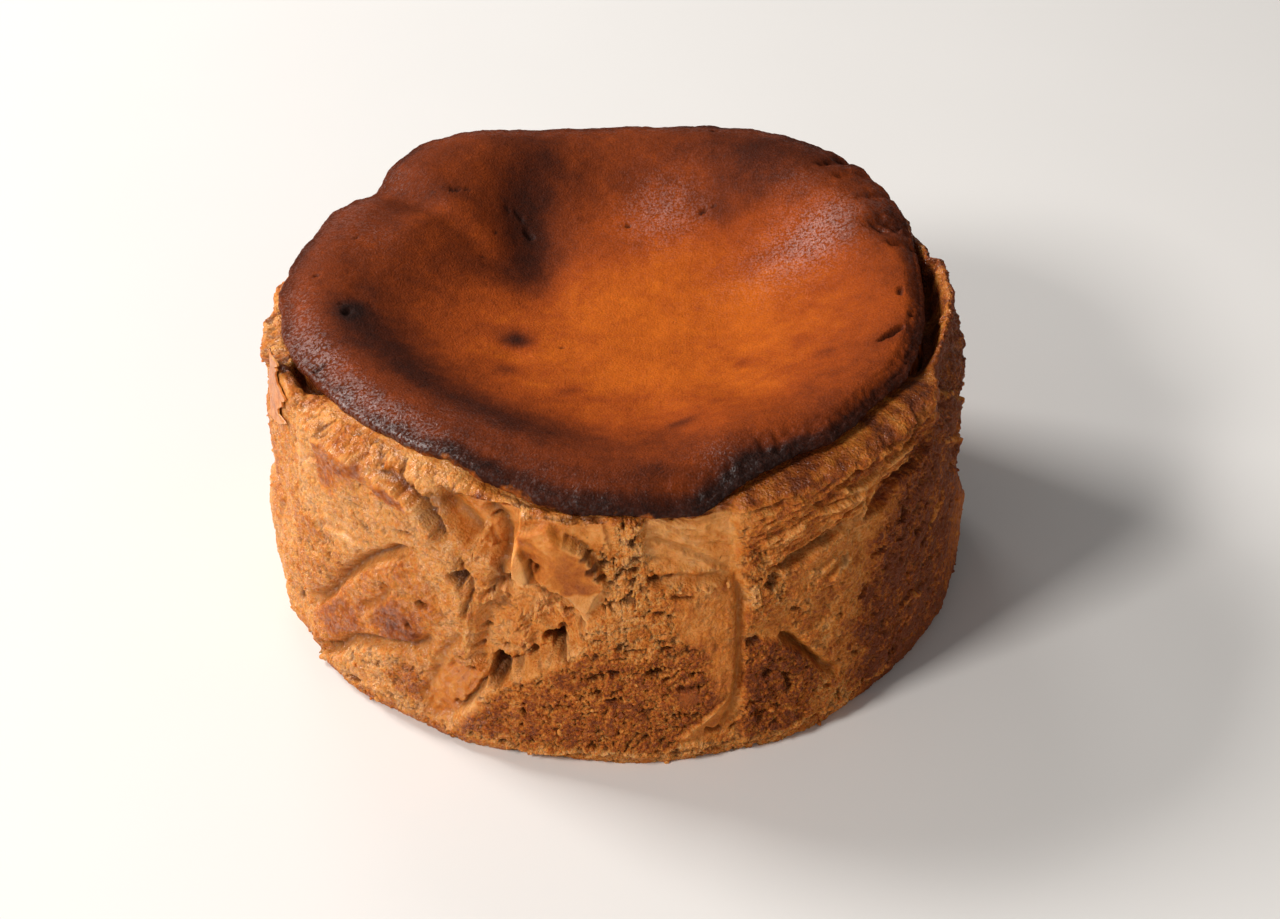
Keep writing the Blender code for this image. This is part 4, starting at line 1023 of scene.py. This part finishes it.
def finish_piece(piece, name, material):
    """Close the piece, turn its faces outwards, shade it, name it and join it to the frame."""
    start_edit(piece)
    bpy.ops.mesh.select_all(action="SELECT")
    bpy.ops.mesh.remove_doubles(threshold=WELD * MM)
    bpy.ops.mesh.normals_make_consistent(inside=False)
    bpy.ops.object.mode_set(mode="OBJECT")
    bpy.ops.object.shade_smooth_by_angle(angle=SMOOTH_ANGLE)
    piece.name = name
    piece.data.name = name
    piece.data.materials.clear()
    piece.data.materials.append(material)
    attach(piece, BODY)
    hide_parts(NODE)
    deselect()


def skirted_grid(columns, rows, skirts):
    """A grid from -1 to 1, with rings of faces drawn up from its edge, at heights 1, 2 and so on."""
    deselect()
    bpy.ops.mesh.primitive_grid_add(x_subdivisions=columns, y_subdivisions=rows, size=2)
    piece = bpy.context.object
    start_edit(piece)
    select_edges(piece, lambda edge: edge.is_boundary)
    for _ in range(skirts):
        bpy.ops.mesh.extrude_region_move(TRANSFORM_OT_translate={"value": (0, 0, 1)})
    bpy.ops.object.mode_set(mode="OBJECT")
    return piece


# ------------------------------------------------------------------------- the pieces

WELD = 0.01              # vertices nearer than this become one
SMOOTH_ANGLE = 1.4       # in radians, sharper edges stay sharp
SHIFT = np.array((0.35, 0.54, 0.0))     # from the cake's own axis to the middle of its box
BOX_MARGIN = 1e-6        # in metres, how far the fine meshes stay inside the solid's box

# The side is made in sectors, each a closed wedge that runs under the crust: name, first and last
# azimuth, columns, rows of the side, and whether its first and last ends lie under a neighbour's.
SECTORS = (
    ("baked_side_front_left", -61.0, -24.5, 290, 208, False, False),
    ("baked_side_front", -26.5, 18.4, 340, 208, True, False),
    ("baked_side_front_right", 16.4, 61.0, 330, 208, True, False),
    ("baked_side_right", 59.0, 149.0, 400, 180, True, False),
    ("baked_side_back", 147.0, 213.0, 280, 150, True, True),
    ("baked_side_left", -149.0, -59.0, 400, 170, False, True),
)
SHOULDER_ROWS = 26
OVERLAP = 2.0            # degrees by which neighbouring sectors overlap
TUCK = 0.6               # how deep the end that lies under is drawn in
CORE_RADIUS = 30.0       # of the hidden wall inside the side
CORE_HEIGHT = 42.0       # level inside the cake where the side's hidden top lies
CORE_OVERLAP = 2.0       # how far the crust's hidden underside goes below that


def tucked(away, under):
    """How far one end of a sector is drawn in, so that neighbours close without a gap."""
    return TUCK * (smooth_step(OVERLAP, 0.0, away) if under else away < 1e-6)


def make_side(name, first, last, columns, side_rows, first_under, last_under, material):
    piece = skirted_grid(columns, side_rows + SHOULDER_ROWS, 2)
    across, along, skirt = read_points(piece).T
    azimuth = first + (last - first) * 0.5 * (across + 1.0)
    row = 0.5 * (along + 1.0) * (side_rows + SHOULDER_ROWS)
    place = np.where(row <= side_rows, row / side_rows, 1.0 + (row - side_rows) / SHOULDER_ROWS)
    folded = (azimuth + 180.0) % 360.0 - 180.0
    radius, height, values = side_and_shoulder(place, folded)
    radius = radius - np.maximum(tucked(azimuth - first, first_under), tucked(last - azimuth, last_under))
    core_height = CORE_HEIGHT * 0.5 * (along + 1.0)
    radius = np.where(skirt > 0.5, CORE_RADIUS * (skirt < 1.5), radius)
    height = np.where(skirt > 0.5, core_height, height)
    write_points(piece, to_model(np.stack([*around(azimuth, radius), height], 1)))
    keep_values(piece, values)
    finish_piece(piece, name, material)


CRUST_GRID = 220
LIP_RINGS = 50


def crust_places(piece):
    """Share of the way out, azimuth and ring of each vertex; a square ring becomes a round one."""
    across, along, ring = read_points(piece).T
    wide = np.abs(across) >= np.abs(along)
    long_side = np.where(wide, across, along)
    safe = np.where(long_side == 0.0, 1.0, long_side)
    lean = np.radians(45.0) * np.where(wide, along, across) / safe
    x = np.where(wide, long_side * np.cos(lean), long_side * np.sin(lean))
    y = np.where(wide, long_side * np.sin(lean), long_side * np.cos(lean))
    return np.hypot(x, y), np.degrees(np.arctan2(x, -y)), ring


def make_crust(material):
    """The burnt top and its lip, closed by a hidden underside inside the cake."""
    piece = skirted_grid(CRUST_GRID, CRUST_GRID, LIP_RINGS + 2)
    out, azimuth, ring = crust_places(piece)
    place = np.clip(ring / LIP_RINGS, 0.0, 1.0)
    on_dish = ring < 0.5
    dish_radius, dish_height = dish_surface(np.minimum(out, 1.0), azimuth)
    lip_radius, lip_height = lip_surface(place, azimuth)
    radius = np.where(on_dish, dish_radius, lip_radius)
    height = np.where(on_dish, dish_height, lip_height)
    x, y = around(azimuth, radius)
    rim = np.where(on_dish, 0.25 * smooth_step(0.85, 1.0, out), 0.25 + 1.5 * place)
    rim = np.clip(rim, 0.0, 1.0)
    relief, pit_shade = crust_relief(x, y, azimuth, rim)
    height = height + relief * smooth_step(0.72, 0.5, place)
    torn = between(azimuth, *TORN_LIP)
    rough = between(azimuth, *ROUGH_LIP)
    ring_x, ring_y = around(azimuth, SIDE_RADIUS)
    nose = np.exp(-(((place - 0.58) / 0.2) ** 4)) * ~on_dish
    broken = 0.6 * stones(ring_x, ring_y, height, 1.9, SEED + 50)
    broken += 0.4 * stones(ring_x, ring_y, height, 0.9, SEED + 53)
    broken += 0.5 * lumps(ring_x, ring_y, height, 4.0, SEED + 54)
    radius = radius + (0.25 + 0.65 * torn + 0.4 * rough) * nose * broken
    hidden = ring - LIP_RINGS
    radius = np.where(hidden > 0.5, CORE_RADIUS * (hidden < 1.5), radius)
    height = np.where(hidden > 0.5, CORE_HEIGHT - CORE_OVERLAP, height)
    write_points(piece, to_model(np.stack([*around(azimuth, radius), height], 1)))
    skin_end = 0.70 - 0.06 * between(azimuth, *SHORT_SKINNED_LIP) + 0.08 * rough
    skin_end = skin_end + 0.09 * layers(ring_x, ring_y, height, 2.6, SEED + 52)
    pale = smooth_step(-0.02, 0.02, place - skin_end) * ~on_dish
    # painted shade in the hollows of the lip's broken crumb
    pit_shade = np.maximum(pit_shade, 1.2 * pale * smooth_step(0.25, -0.30, broken))
    keep_values(piece, {"burn": crust_burn_and_shade(x, y, azimuth, rim), "pale": pale, "deep": pit_shade,
                        "gloss": crust_gloss(x, y, azimuth, rim)})
    finish_piece(piece, "burnt_crust", material)


# ------------------------------------------------------------------------- the torn skin

# A thin skin that lifts off the left of the side. Its lines are given by azimuth and height.
FLAP_THICKNESS = 0.35
FLAP_ROOT = ((-78, 41.0), (-80, 45.5), (-77, 50), (-76, 54))
FLAP_FREE_EDGE = ((-68.5, 42.5), (-66.4, 47.5), (-66.6, 53), (-69.5, 57.2))
FLAP_LIFT = 0.2          # how far the free edge stands off
FLAP_CURL = 1.8          # how late it leaves the side
FLAP_TUCK = 0.45         # how deep the root lies in the side
FLAP_RISE = 0.3          # how far past the widest place of the side it would reach
FLAP_LEVEL = 0.6         # how much it follows that reach, rather than the side below it
FLAP_COLUMNS, FLAP_ROWS = 60, 18


def make_flap(material):
    """The flap of skin, from its root out to its torn free edge."""
    deselect()
    bpy.ops.mesh.primitive_grid_add(x_subdivisions=FLAP_COLUMNS, y_subdivisions=FLAP_ROWS, size=2)
    piece = bpy.context.object
    across, along, _ = read_points(piece).T
    share, out = 0.5 * (across + 1.0), 0.5 * (along + 1.0)
    stops = np.linspace(0.0, 1.0, len(FLAP_ROOT))
    ends = np.clip(1.3 - np.abs(2.0 * share - 1.0) ** 6, 0.0, 1.0)
    jagged = 0.22 * lumps(9.0 * share, 0.0, 0.0, 1.0, SEED + 14) + 0.12 * lumps(
        26.0 * share, 5.0, 0.0, 1.0, SEED + 14)
    reach = out * ends * (1.0 + jagged)
    azimuth, height = (
        blend(np.interp(share, stops, root), np.interp(share, stops, free), reach)
        for root, free in zip(zip(*FLAP_ROOT), zip(*FLAP_FREE_EDGE)))
    level = sum(side_surface(azimuth, np.minimum(height, rim_value(azimuth, EDGE)))[:2])
    level = blend(level, SIDE_RADIUS + FLAP_RISE, FLAP_LEVEL)
    wave = 0.22 * lumps(8.0 * share, 3.0 * out, 4.0, 1.0, SEED + 42)
    radius = level - FLAP_TUCK * (1.0 - out) ** 2 + FLAP_LIFT * out ** FLAP_CURL + wave * out
    write_points(piece, to_model(np.stack([*around(azimuth, radius), height], 1)))
    keep_values(piece, {"edge": out})
    wall = piece.modifiers.new("thickness", "SOLIDIFY")
    wall.thickness = FLAP_THICKNESS * MM
    wall.offset = 0.0
    pick(piece)
    bpy.ops.object.modifier_apply(modifier=wall.name)
    finish_piece(piece, "skin_left_flap", material)


# ------------------------------------------------------------------------- crumbs

CRUMB_COUNT = 420
CRUMB_SMALL, CRUMB_LARGE = 0.16, 0.55    # radius of the loose crumbs
FOOT_SHARE = 0.12        # of the crumbs that lie along the foot


def lump_blank():
    """A rounded crumb of radius 1, of 80 faces."""
    deselect()
    bpy.ops.mesh.primitive_ico_sphere_add(subdivisions=2, radius=1.0)
    return bpy.context.object


def scattered_crumbs(draw):
    """Azimuth, height and radius of the crumbs that sit on the side, more of them where it is rough."""
    tries = CRUMB_COUNT * 12
    azimuth = draw.uniform(-180.0, 180.0, tries)
    height = draw.uniform(2.0, 49.0, tries)
    foot = draw.random(tries) < FOOT_SHARE
    height = np.where(foot, draw.gamma(2.0, 0.7, tries), height)
    _, _, pores, _, deep = side_surface(azimuth, height)
    liked = draw.random(tries) < np.where(foot, 0.8, 0.05 + 0.9 * pores ** 2) * (1.0 - 0.6 * deep)
    chosen = np.flatnonzero(liked)[:CRUMB_COUNT]
    size = CRUMB_SMALL + (CRUMB_LARGE - CRUMB_SMALL) * draw.random(len(chosen)) ** 3
    return azimuth[chosen], height[chosen], size


def make_crumbs(material):
    """All the crumbs, as one piece: copies of one lump, each turned, stretched and dented."""
    blank = lump_blank()
    draw = np.random.default_rng(SEED + 70)
    azimuth, height, size = scattered_crumbs(draw)
    count = len(azimuth)
    level, fine, _, tone, _ = side_surface(azimuth, height)
    level = level + fine + 0.15 * size
    core = read_points(blank)
    corners = len(core)
    turned = np.linalg.qr(draw.normal(size=(count, 3, 3)))[0]
    points = np.einsum("kij,vj->kvi", turned, core) * draw.uniform(0.75, 1.25, (count, 1, 3))
    shift = draw.uniform(0.0, 90.0, (count, 1))
    dents = 0.45 * lumps(points[..., 0] + shift, points[..., 1], points[..., 2], 0.8, SEED + 71)
    points = points * (1.0 + dents[..., None]) * size[:, None, None]
    turn = np.radians(azimuth)[:, None]
    aside, outward, upward = points[..., 0], points[..., 1], points[..., 2]
    x, y = around(azimuth[:, None], level[:, None] + outward)
    x, y = x + aside * np.cos(turn), y + aside * np.sin(turn)
    z = np.maximum(height[:, None] + upward, 0.0)
    pick(blank)
    spread = blank.modifiers.new("copies", "ARRAY")
    spread.count = count
    spread.use_merge_vertices = False
    bpy.ops.object.modifier_apply(modifier=spread.name)
    write_points(blank, to_model(np.stack([x.ravel(), y.ravel(), z.ravel()], 1)))
    tone = np.clip(tone + draw.uniform(-0.2, 0.1, count), 0.0, 1.0)
    keep_values(blank, {"brown": np.repeat(tone, corners), "pores": np.full(count * corners, 0.3),
                        "deep": np.zeros(count * corners), "moist": np.full(count * corners, 0.3)})
    finish_piece(blank, "crumbs", material)


# ------------------------------------------------------------------------- materials

class Wire:
    """A shader socket that takes part in sums as a number does."""

    def __init__(self, maker, socket):
        self.maker = maker
        self.socket = socket

    def __add__(self, other):
        return self.maker.math("ADD", self, other)

    def __sub__(self, other):
        return self.maker.math("SUBTRACT", self, other)

    def __rsub__(self, other):
        return self.maker.math("SUBTRACT", other, self)

    def __mul__(self, other):
        return self.maker.math("MULTIPLY", self, other)

    __radd__ = __add__
    __rmul__ = __mul__


class Maker:
    """Adds the nodes of one material."""

    def __init__(self, name):
        self.material = bpy.data.materials.new(name)
        self.material.use_nodes = True
        self.tree = self.material.node_tree
        self.shader = self.tree.nodes["Principled BSDF"]
        self.place = Wire(self, self.node("ShaderNodeTexCoord").outputs["Object"])

    def plug(self, socket, value):
        if isinstance(value, Wire):
            self.tree.links.new(value.socket, socket)
        else:
            socket.default_value = value

    def node(self, kind, settings=(), values=()):
        """Any node: its settings first, then the values or links of its sockets."""
        node = self.tree.nodes.new(kind)
        for name, setting in dict(settings).items():
            if name == "stops":
                ramp = node.color_ramp.elements
                while len(ramp) < len(setting):
                    ramp.new(0.5)
                for element, (position, color) in zip(ramp, setting):
                    element.position = position
                    element.color = (*color, 1.0)
            else:
                setattr(node, name, setting)
        for name, value in dict(values).items():
            self.plug(node.inputs[name], value)
        return node

    def math(self, operation, first, second=0.0, clamp=False):
        node = self.node("ShaderNodeMath", {"operation": operation, "use_clamp": clamp},
                         {0: first, 1: second})
        return Wire(self, node.outputs[0])

    def kept(self, name):
        """A number kept on the piece's vertices."""
        node = self.node("ShaderNodeAttribute", {"attribute_name": name})
        return Wire(self, node.outputs["Fac"])

    def noise(self, size, detail=2.0):
        """Noise about 0, whose lumps are size millimetres across."""
        node = self.node("ShaderNodeTexNoise", (), {
            "Vector": self.place, "Scale": 1.0 / (size * MM), "Detail": detail})
        return Wire(self, node.outputs["Fac"]) - 0.5

    def cells(self, size):
        """Distance to the nearest of points scattered size millimetres apart."""
        node = self.node("ShaderNodeTexVoronoi", (), {
            "Vector": self.place, "Scale": 1.0 / (size * MM)})
        return Wire(self, node.outputs["Distance"])

    def step(self, low, high, value):
        """0 below low, 1 above high, smooth between."""
        node = self.node("ShaderNodeMapRange", {"interpolation_type": "SMOOTHSTEP"},
                         {"Value": value, "From Min": low, "From Max": high})
        return Wire(self, node.outputs[0])

    def ramp(self, value, stops):
        node = self.node("ShaderNodeValToRGB", {"stops": stops}, {"Fac": value})
        return Wire(self, node.outputs["Color"])

    def mix(self, factor, first, second):
        """A colour between two."""
        node = self.node("ShaderNodeMix", {"data_type": "RGBA"}, {0: factor, 6: first, 7: second})
        return Wire(self, node.outputs[2])

    def bump(self, height, strength, distance):
        node = self.node("ShaderNodeBump", (), {
            "Height": height, "Strength": strength, "Distance": distance * MM})
        return Wire(self, node.outputs[0])

    def surface(self, **values):
        for name, value in values.items():
            self.plug(self.shader.inputs[name.replace("_", " ")], value)

    def shine(self, share, values):
        """A shinier finish over a share of the surface."""
        finish = self.node("ShaderNodeBsdfPrincipled", (), values)
        both = self.node("ShaderNodeMixShader", (), {
            0: share, 1: Wire(self, self.shader.outputs[0]), 2: Wire(self, finish.outputs[0])})
        self.plug(self.tree.nodes["Material Output"].inputs["Surface"], Wire(self, both.outputs[0]))


CREAM = (0.74, 0.35, 0.115)
TAN = (0.68, 0.27, 0.062)
GOLDEN = (0.56, 0.170, 0.022)
BAKED = (0.36, 0.087, 0.011)
REDDISH = (0.17, 0.037, 0.008)
# the dark brown that stands for shade in the side's hollows
RECESS_SHADE_BROWN = (0.10, 0.024, 0.005)

ORANGE = (0.56, 0.120, 0.009)
AMBER = (0.33, 0.058, 0.007)
CHESTNUT = (0.17, 0.030, 0.006)
UMBER = (0.07, 0.014, 0.005)
# black-brown of the most burnt crust, and of the painted shade in its pinholes
CHAR_AND_SHADE = (0.020, 0.008, 0.006)

# How far red, green and blue light scatter, as shares of the farthest.
CAKE_SCATTER = (1.0, 0.42, 0.16)
SKIN_SCATTER = (1.0, 0.40, 0.16)
CRUST_SCATTER = (1.0, 0.35, 0.12)

WARM_WHITE = (0.80, 0.785, 0.765, 1.0)
LIGHTER_WHITE = (0.83, 0.815, 0.795, 1.0)


def side_color(m, tone, deep):
    color = m.ramp(tone, (
        (0.0, CREAM), (0.25, TAN), (0.50, GOLDEN), (0.75, BAKED), (1.0, REDDISH)))
    # Mixed towards a dark brown where the side is painted with shade.
    return m.mix(m.math("MULTIPLY", deep, 0.85, clamp=True), color, (*RECESS_SHADE_BROWN, 1.0))


def side_material():
    """Baked side: pale where it tore, golden to reddish brown where it stood against the paper."""
    m = Maker("baked_side")
    pores = m.kept("pores")
    tone = m.kept("brown") + m.noise(4.5, 4.0) * 0.70 + m.noise(1.4, 3.0) * 0.60
    tone = tone + (pores + 0.2) * m.noise(0.6) * 0.9
    fine = m.noise(0.42, 3.0)
    relief = fine * (0.6 + pores) + pores * (0.5 - m.cells(0.5)) * 0.9
    color = side_color(m, tone, m.kept("deep"))
    normal = m.bump(relief, 1.0, 0.36)
    m.surface(Base_Color=color, Roughness=0.6, Normal=normal)
    m.surface(Subsurface_Weight=0.40, Subsurface_Radius=CAKE_SCATTER, Subsurface_Scale=1.0 * MM,
              Specular_IOR_Level=0.15)
    wet = m.kept("moist") * m.step(-0.06, 0.08, m.noise(1.1, 3.0))
    m.shine(wet * 0.75, {
        "Base Color": color, "Roughness": 0.26, "Specular IOR Level": 1.0, "Normal": normal})
    return m.material


def skin_material():
    """Thin dried skin of the bake: dusky brown, with a pale pinkish edge, partly a painted highlight, and
    a low sheen.
    """
    m = Maker("dried_skin")
    tone = 0.56 + m.noise(3.0, 3.0) * 0.9 + m.noise(1.0, 3.0) * 0.7
    # paler towards the free edge: partly a painted highlight
    color = side_color(m, tone - m.step(0.86, 1.0, m.kept("edge")) * 0.2, 0.0)
    m.surface(Base_Color=color, Roughness=0.38 + m.noise(1.2) * 0.3,
              Normal=m.bump(m.noise(0.5, 3.0), 0.5, 0.25))
    m.surface(Subsurface_Weight=0.1, Subsurface_Radius=SKIN_SCATTER, Subsurface_Scale=0.8 * MM)
    return m.material


def crust_material():
    """Burnt crust: orange-brown in the middle of the dish, nearly black at the rim, satin."""
    m = Maker("burnt_crust")
    burn = m.kept("burn") + m.noise(1.6, 4.0) * 0.18 + m.noise(0.36, 3.0) * 0.32
    color = m.ramp(burn, (
        (0.0, ORANGE), (0.28, AMBER), (0.52, CHESTNUT), (0.76, UMBER), (1.0, CHAR_AND_SHADE)))
    crumb_color = side_color(m, 0.82 + m.noise(1.2, 3.0) * 1.3, 0.0)
    color = m.mix(m.kept("pale"), color, crumb_color)
    # Pinholes and the lip's hollows are mixed towards black-brown: painted shade.
    color = m.mix(m.math("MULTIPLY", m.kept("deep"), 0.7, clamp=True), color, (*CHAR_AND_SHADE, 1.0))
    normal = m.bump(m.noise(0.36, 3.0) + m.noise(1.2) * 0.6, 1.0, 0.20)
    m.surface(Base_Color=color, Roughness=0.7, Normal=normal)
    m.surface(Subsurface_Weight=0.04, Subsurface_Radius=CRUST_SCATTER, Subsurface_Scale=0.8 * MM,
              Specular_IOR_Level=0.05)
    gloss = m.kept("gloss")
    speckle = m.step(-0.06, 0.10, m.noise(0.55, 3.0) + gloss * 0.06 - 0.02)
    m.shine(gloss * speckle, {
        "Base Color": color, "Roughness": 0.28, "Specular IOR Level": 0.9, "Normal": normal})
    return m.material


def floor_material():
    """Pale matt floor with the faintest change of tone."""
    m = Maker("pale_floor")
    color = m.mix(0.5 + m.noise(60.0), WARM_WHITE, LIGHTER_WHITE)
    m.surface(Base_Color=color, Roughness=0.8, Specular_IOR_Level=0.2)
    return m.material


# ------------------------------------------------------------------------- stage

FLOOR_SIZE = 6.0                         # in metres
CAMERA_PLACE = (3.96, -466.33, 340.76)   # from the middle of the foot, in millimetres
CAMERA_PITCH = 34.50                     # degrees below the horizon
CAMERA_ROLL = -0.948
LENS = 90.0                              # in millimetres

# Soft boxes: place and width in metres, power in watts, and colour.
LIGHTS = {
    "key_front_left": ((-0.60, -0.54, 0.66), 0.22, 6.9, (1.0, 0.965, 0.925)),
    "key_rear_left": ((-0.72, 0.38, 0.66), 0.34, 8.8, (1.0, 0.97, 0.94)),
    "rear_left": ((-0.30, 0.95, 0.85), 0.32, 1.6, (1.0, 0.98, 0.96)),
    "front_fill": ((-0.5, -1.3, 0.9), 1.0, 1.2, (1.0, 0.99, 0.98)),
    "low_card_right": ((0.9, -1.2, 0.3), 0.6, 2.4, (1.0, 0.98, 0.96)),
}
AIM_HEIGHT = 0.03        # of the place that they all point at, in metres
WORLD_COLOR = (1.0, 0.985, 0.97, 1.0)
WORLD_STRENGTH = 0.14


def make_floor():
    deselect()
    bpy.ops.mesh.primitive_plane_add(size=FLOOR_SIZE)
    floor = bpy.context.object
    floor.name = "floor"
    floor.data.materials.append(floor_material())


def make_lights():
    for name, (place, size, power, color) in LIGHTS.items():
        lamp = bpy.data.lights.new(name, "AREA")
        lamp.energy = power
        lamp.size = size
        lamp.color = color
        holder = bpy.data.objects.new(name, lamp)
        bpy.context.scene.collection.objects.link(holder)
        holder.location = place
        aim = -holder.location
        aim.z += AIM_HEIGHT
        holder.rotation_euler = aim.to_track_quat("-Z", "Y").to_euler()
    world = bpy.data.worlds.new("soft_room")
    world.use_nodes = True
    background = world.node_tree.nodes["Background"]
    background.inputs["Color"].default_value = WORLD_COLOR
    background.inputs["Strength"].default_value = WORLD_STRENGTH
    bpy.context.scene.world = world


def make_camera():
    lens = bpy.data.cameras.new("photo_view")
    lens.lens = LENS
    camera = bpy.data.objects.new("photo_view", lens)
    bpy.context.scene.collection.objects.link(camera)
    camera.location = (np.array(CAMERA_PLACE) + SHIFT) * MM
    camera.rotation_euler = (np.radians(90.0 - CAMERA_PITCH), 0.0, 0.0)
    camera.rotation_euler.rotate_axis("Z", np.radians(CAMERA_ROLL))
    bpy.context.scene.camera = camera


side_finish = side_material()
for sector in SECTORS:
    make_side(*sector, side_finish)
make_crust(crust_material())
make_flap(skin_material())
make_crumbs(side_finish)
make_floor()
make_lights()
make_camera()
bpy.context.scene.view_settings.view_transform = "Standard"
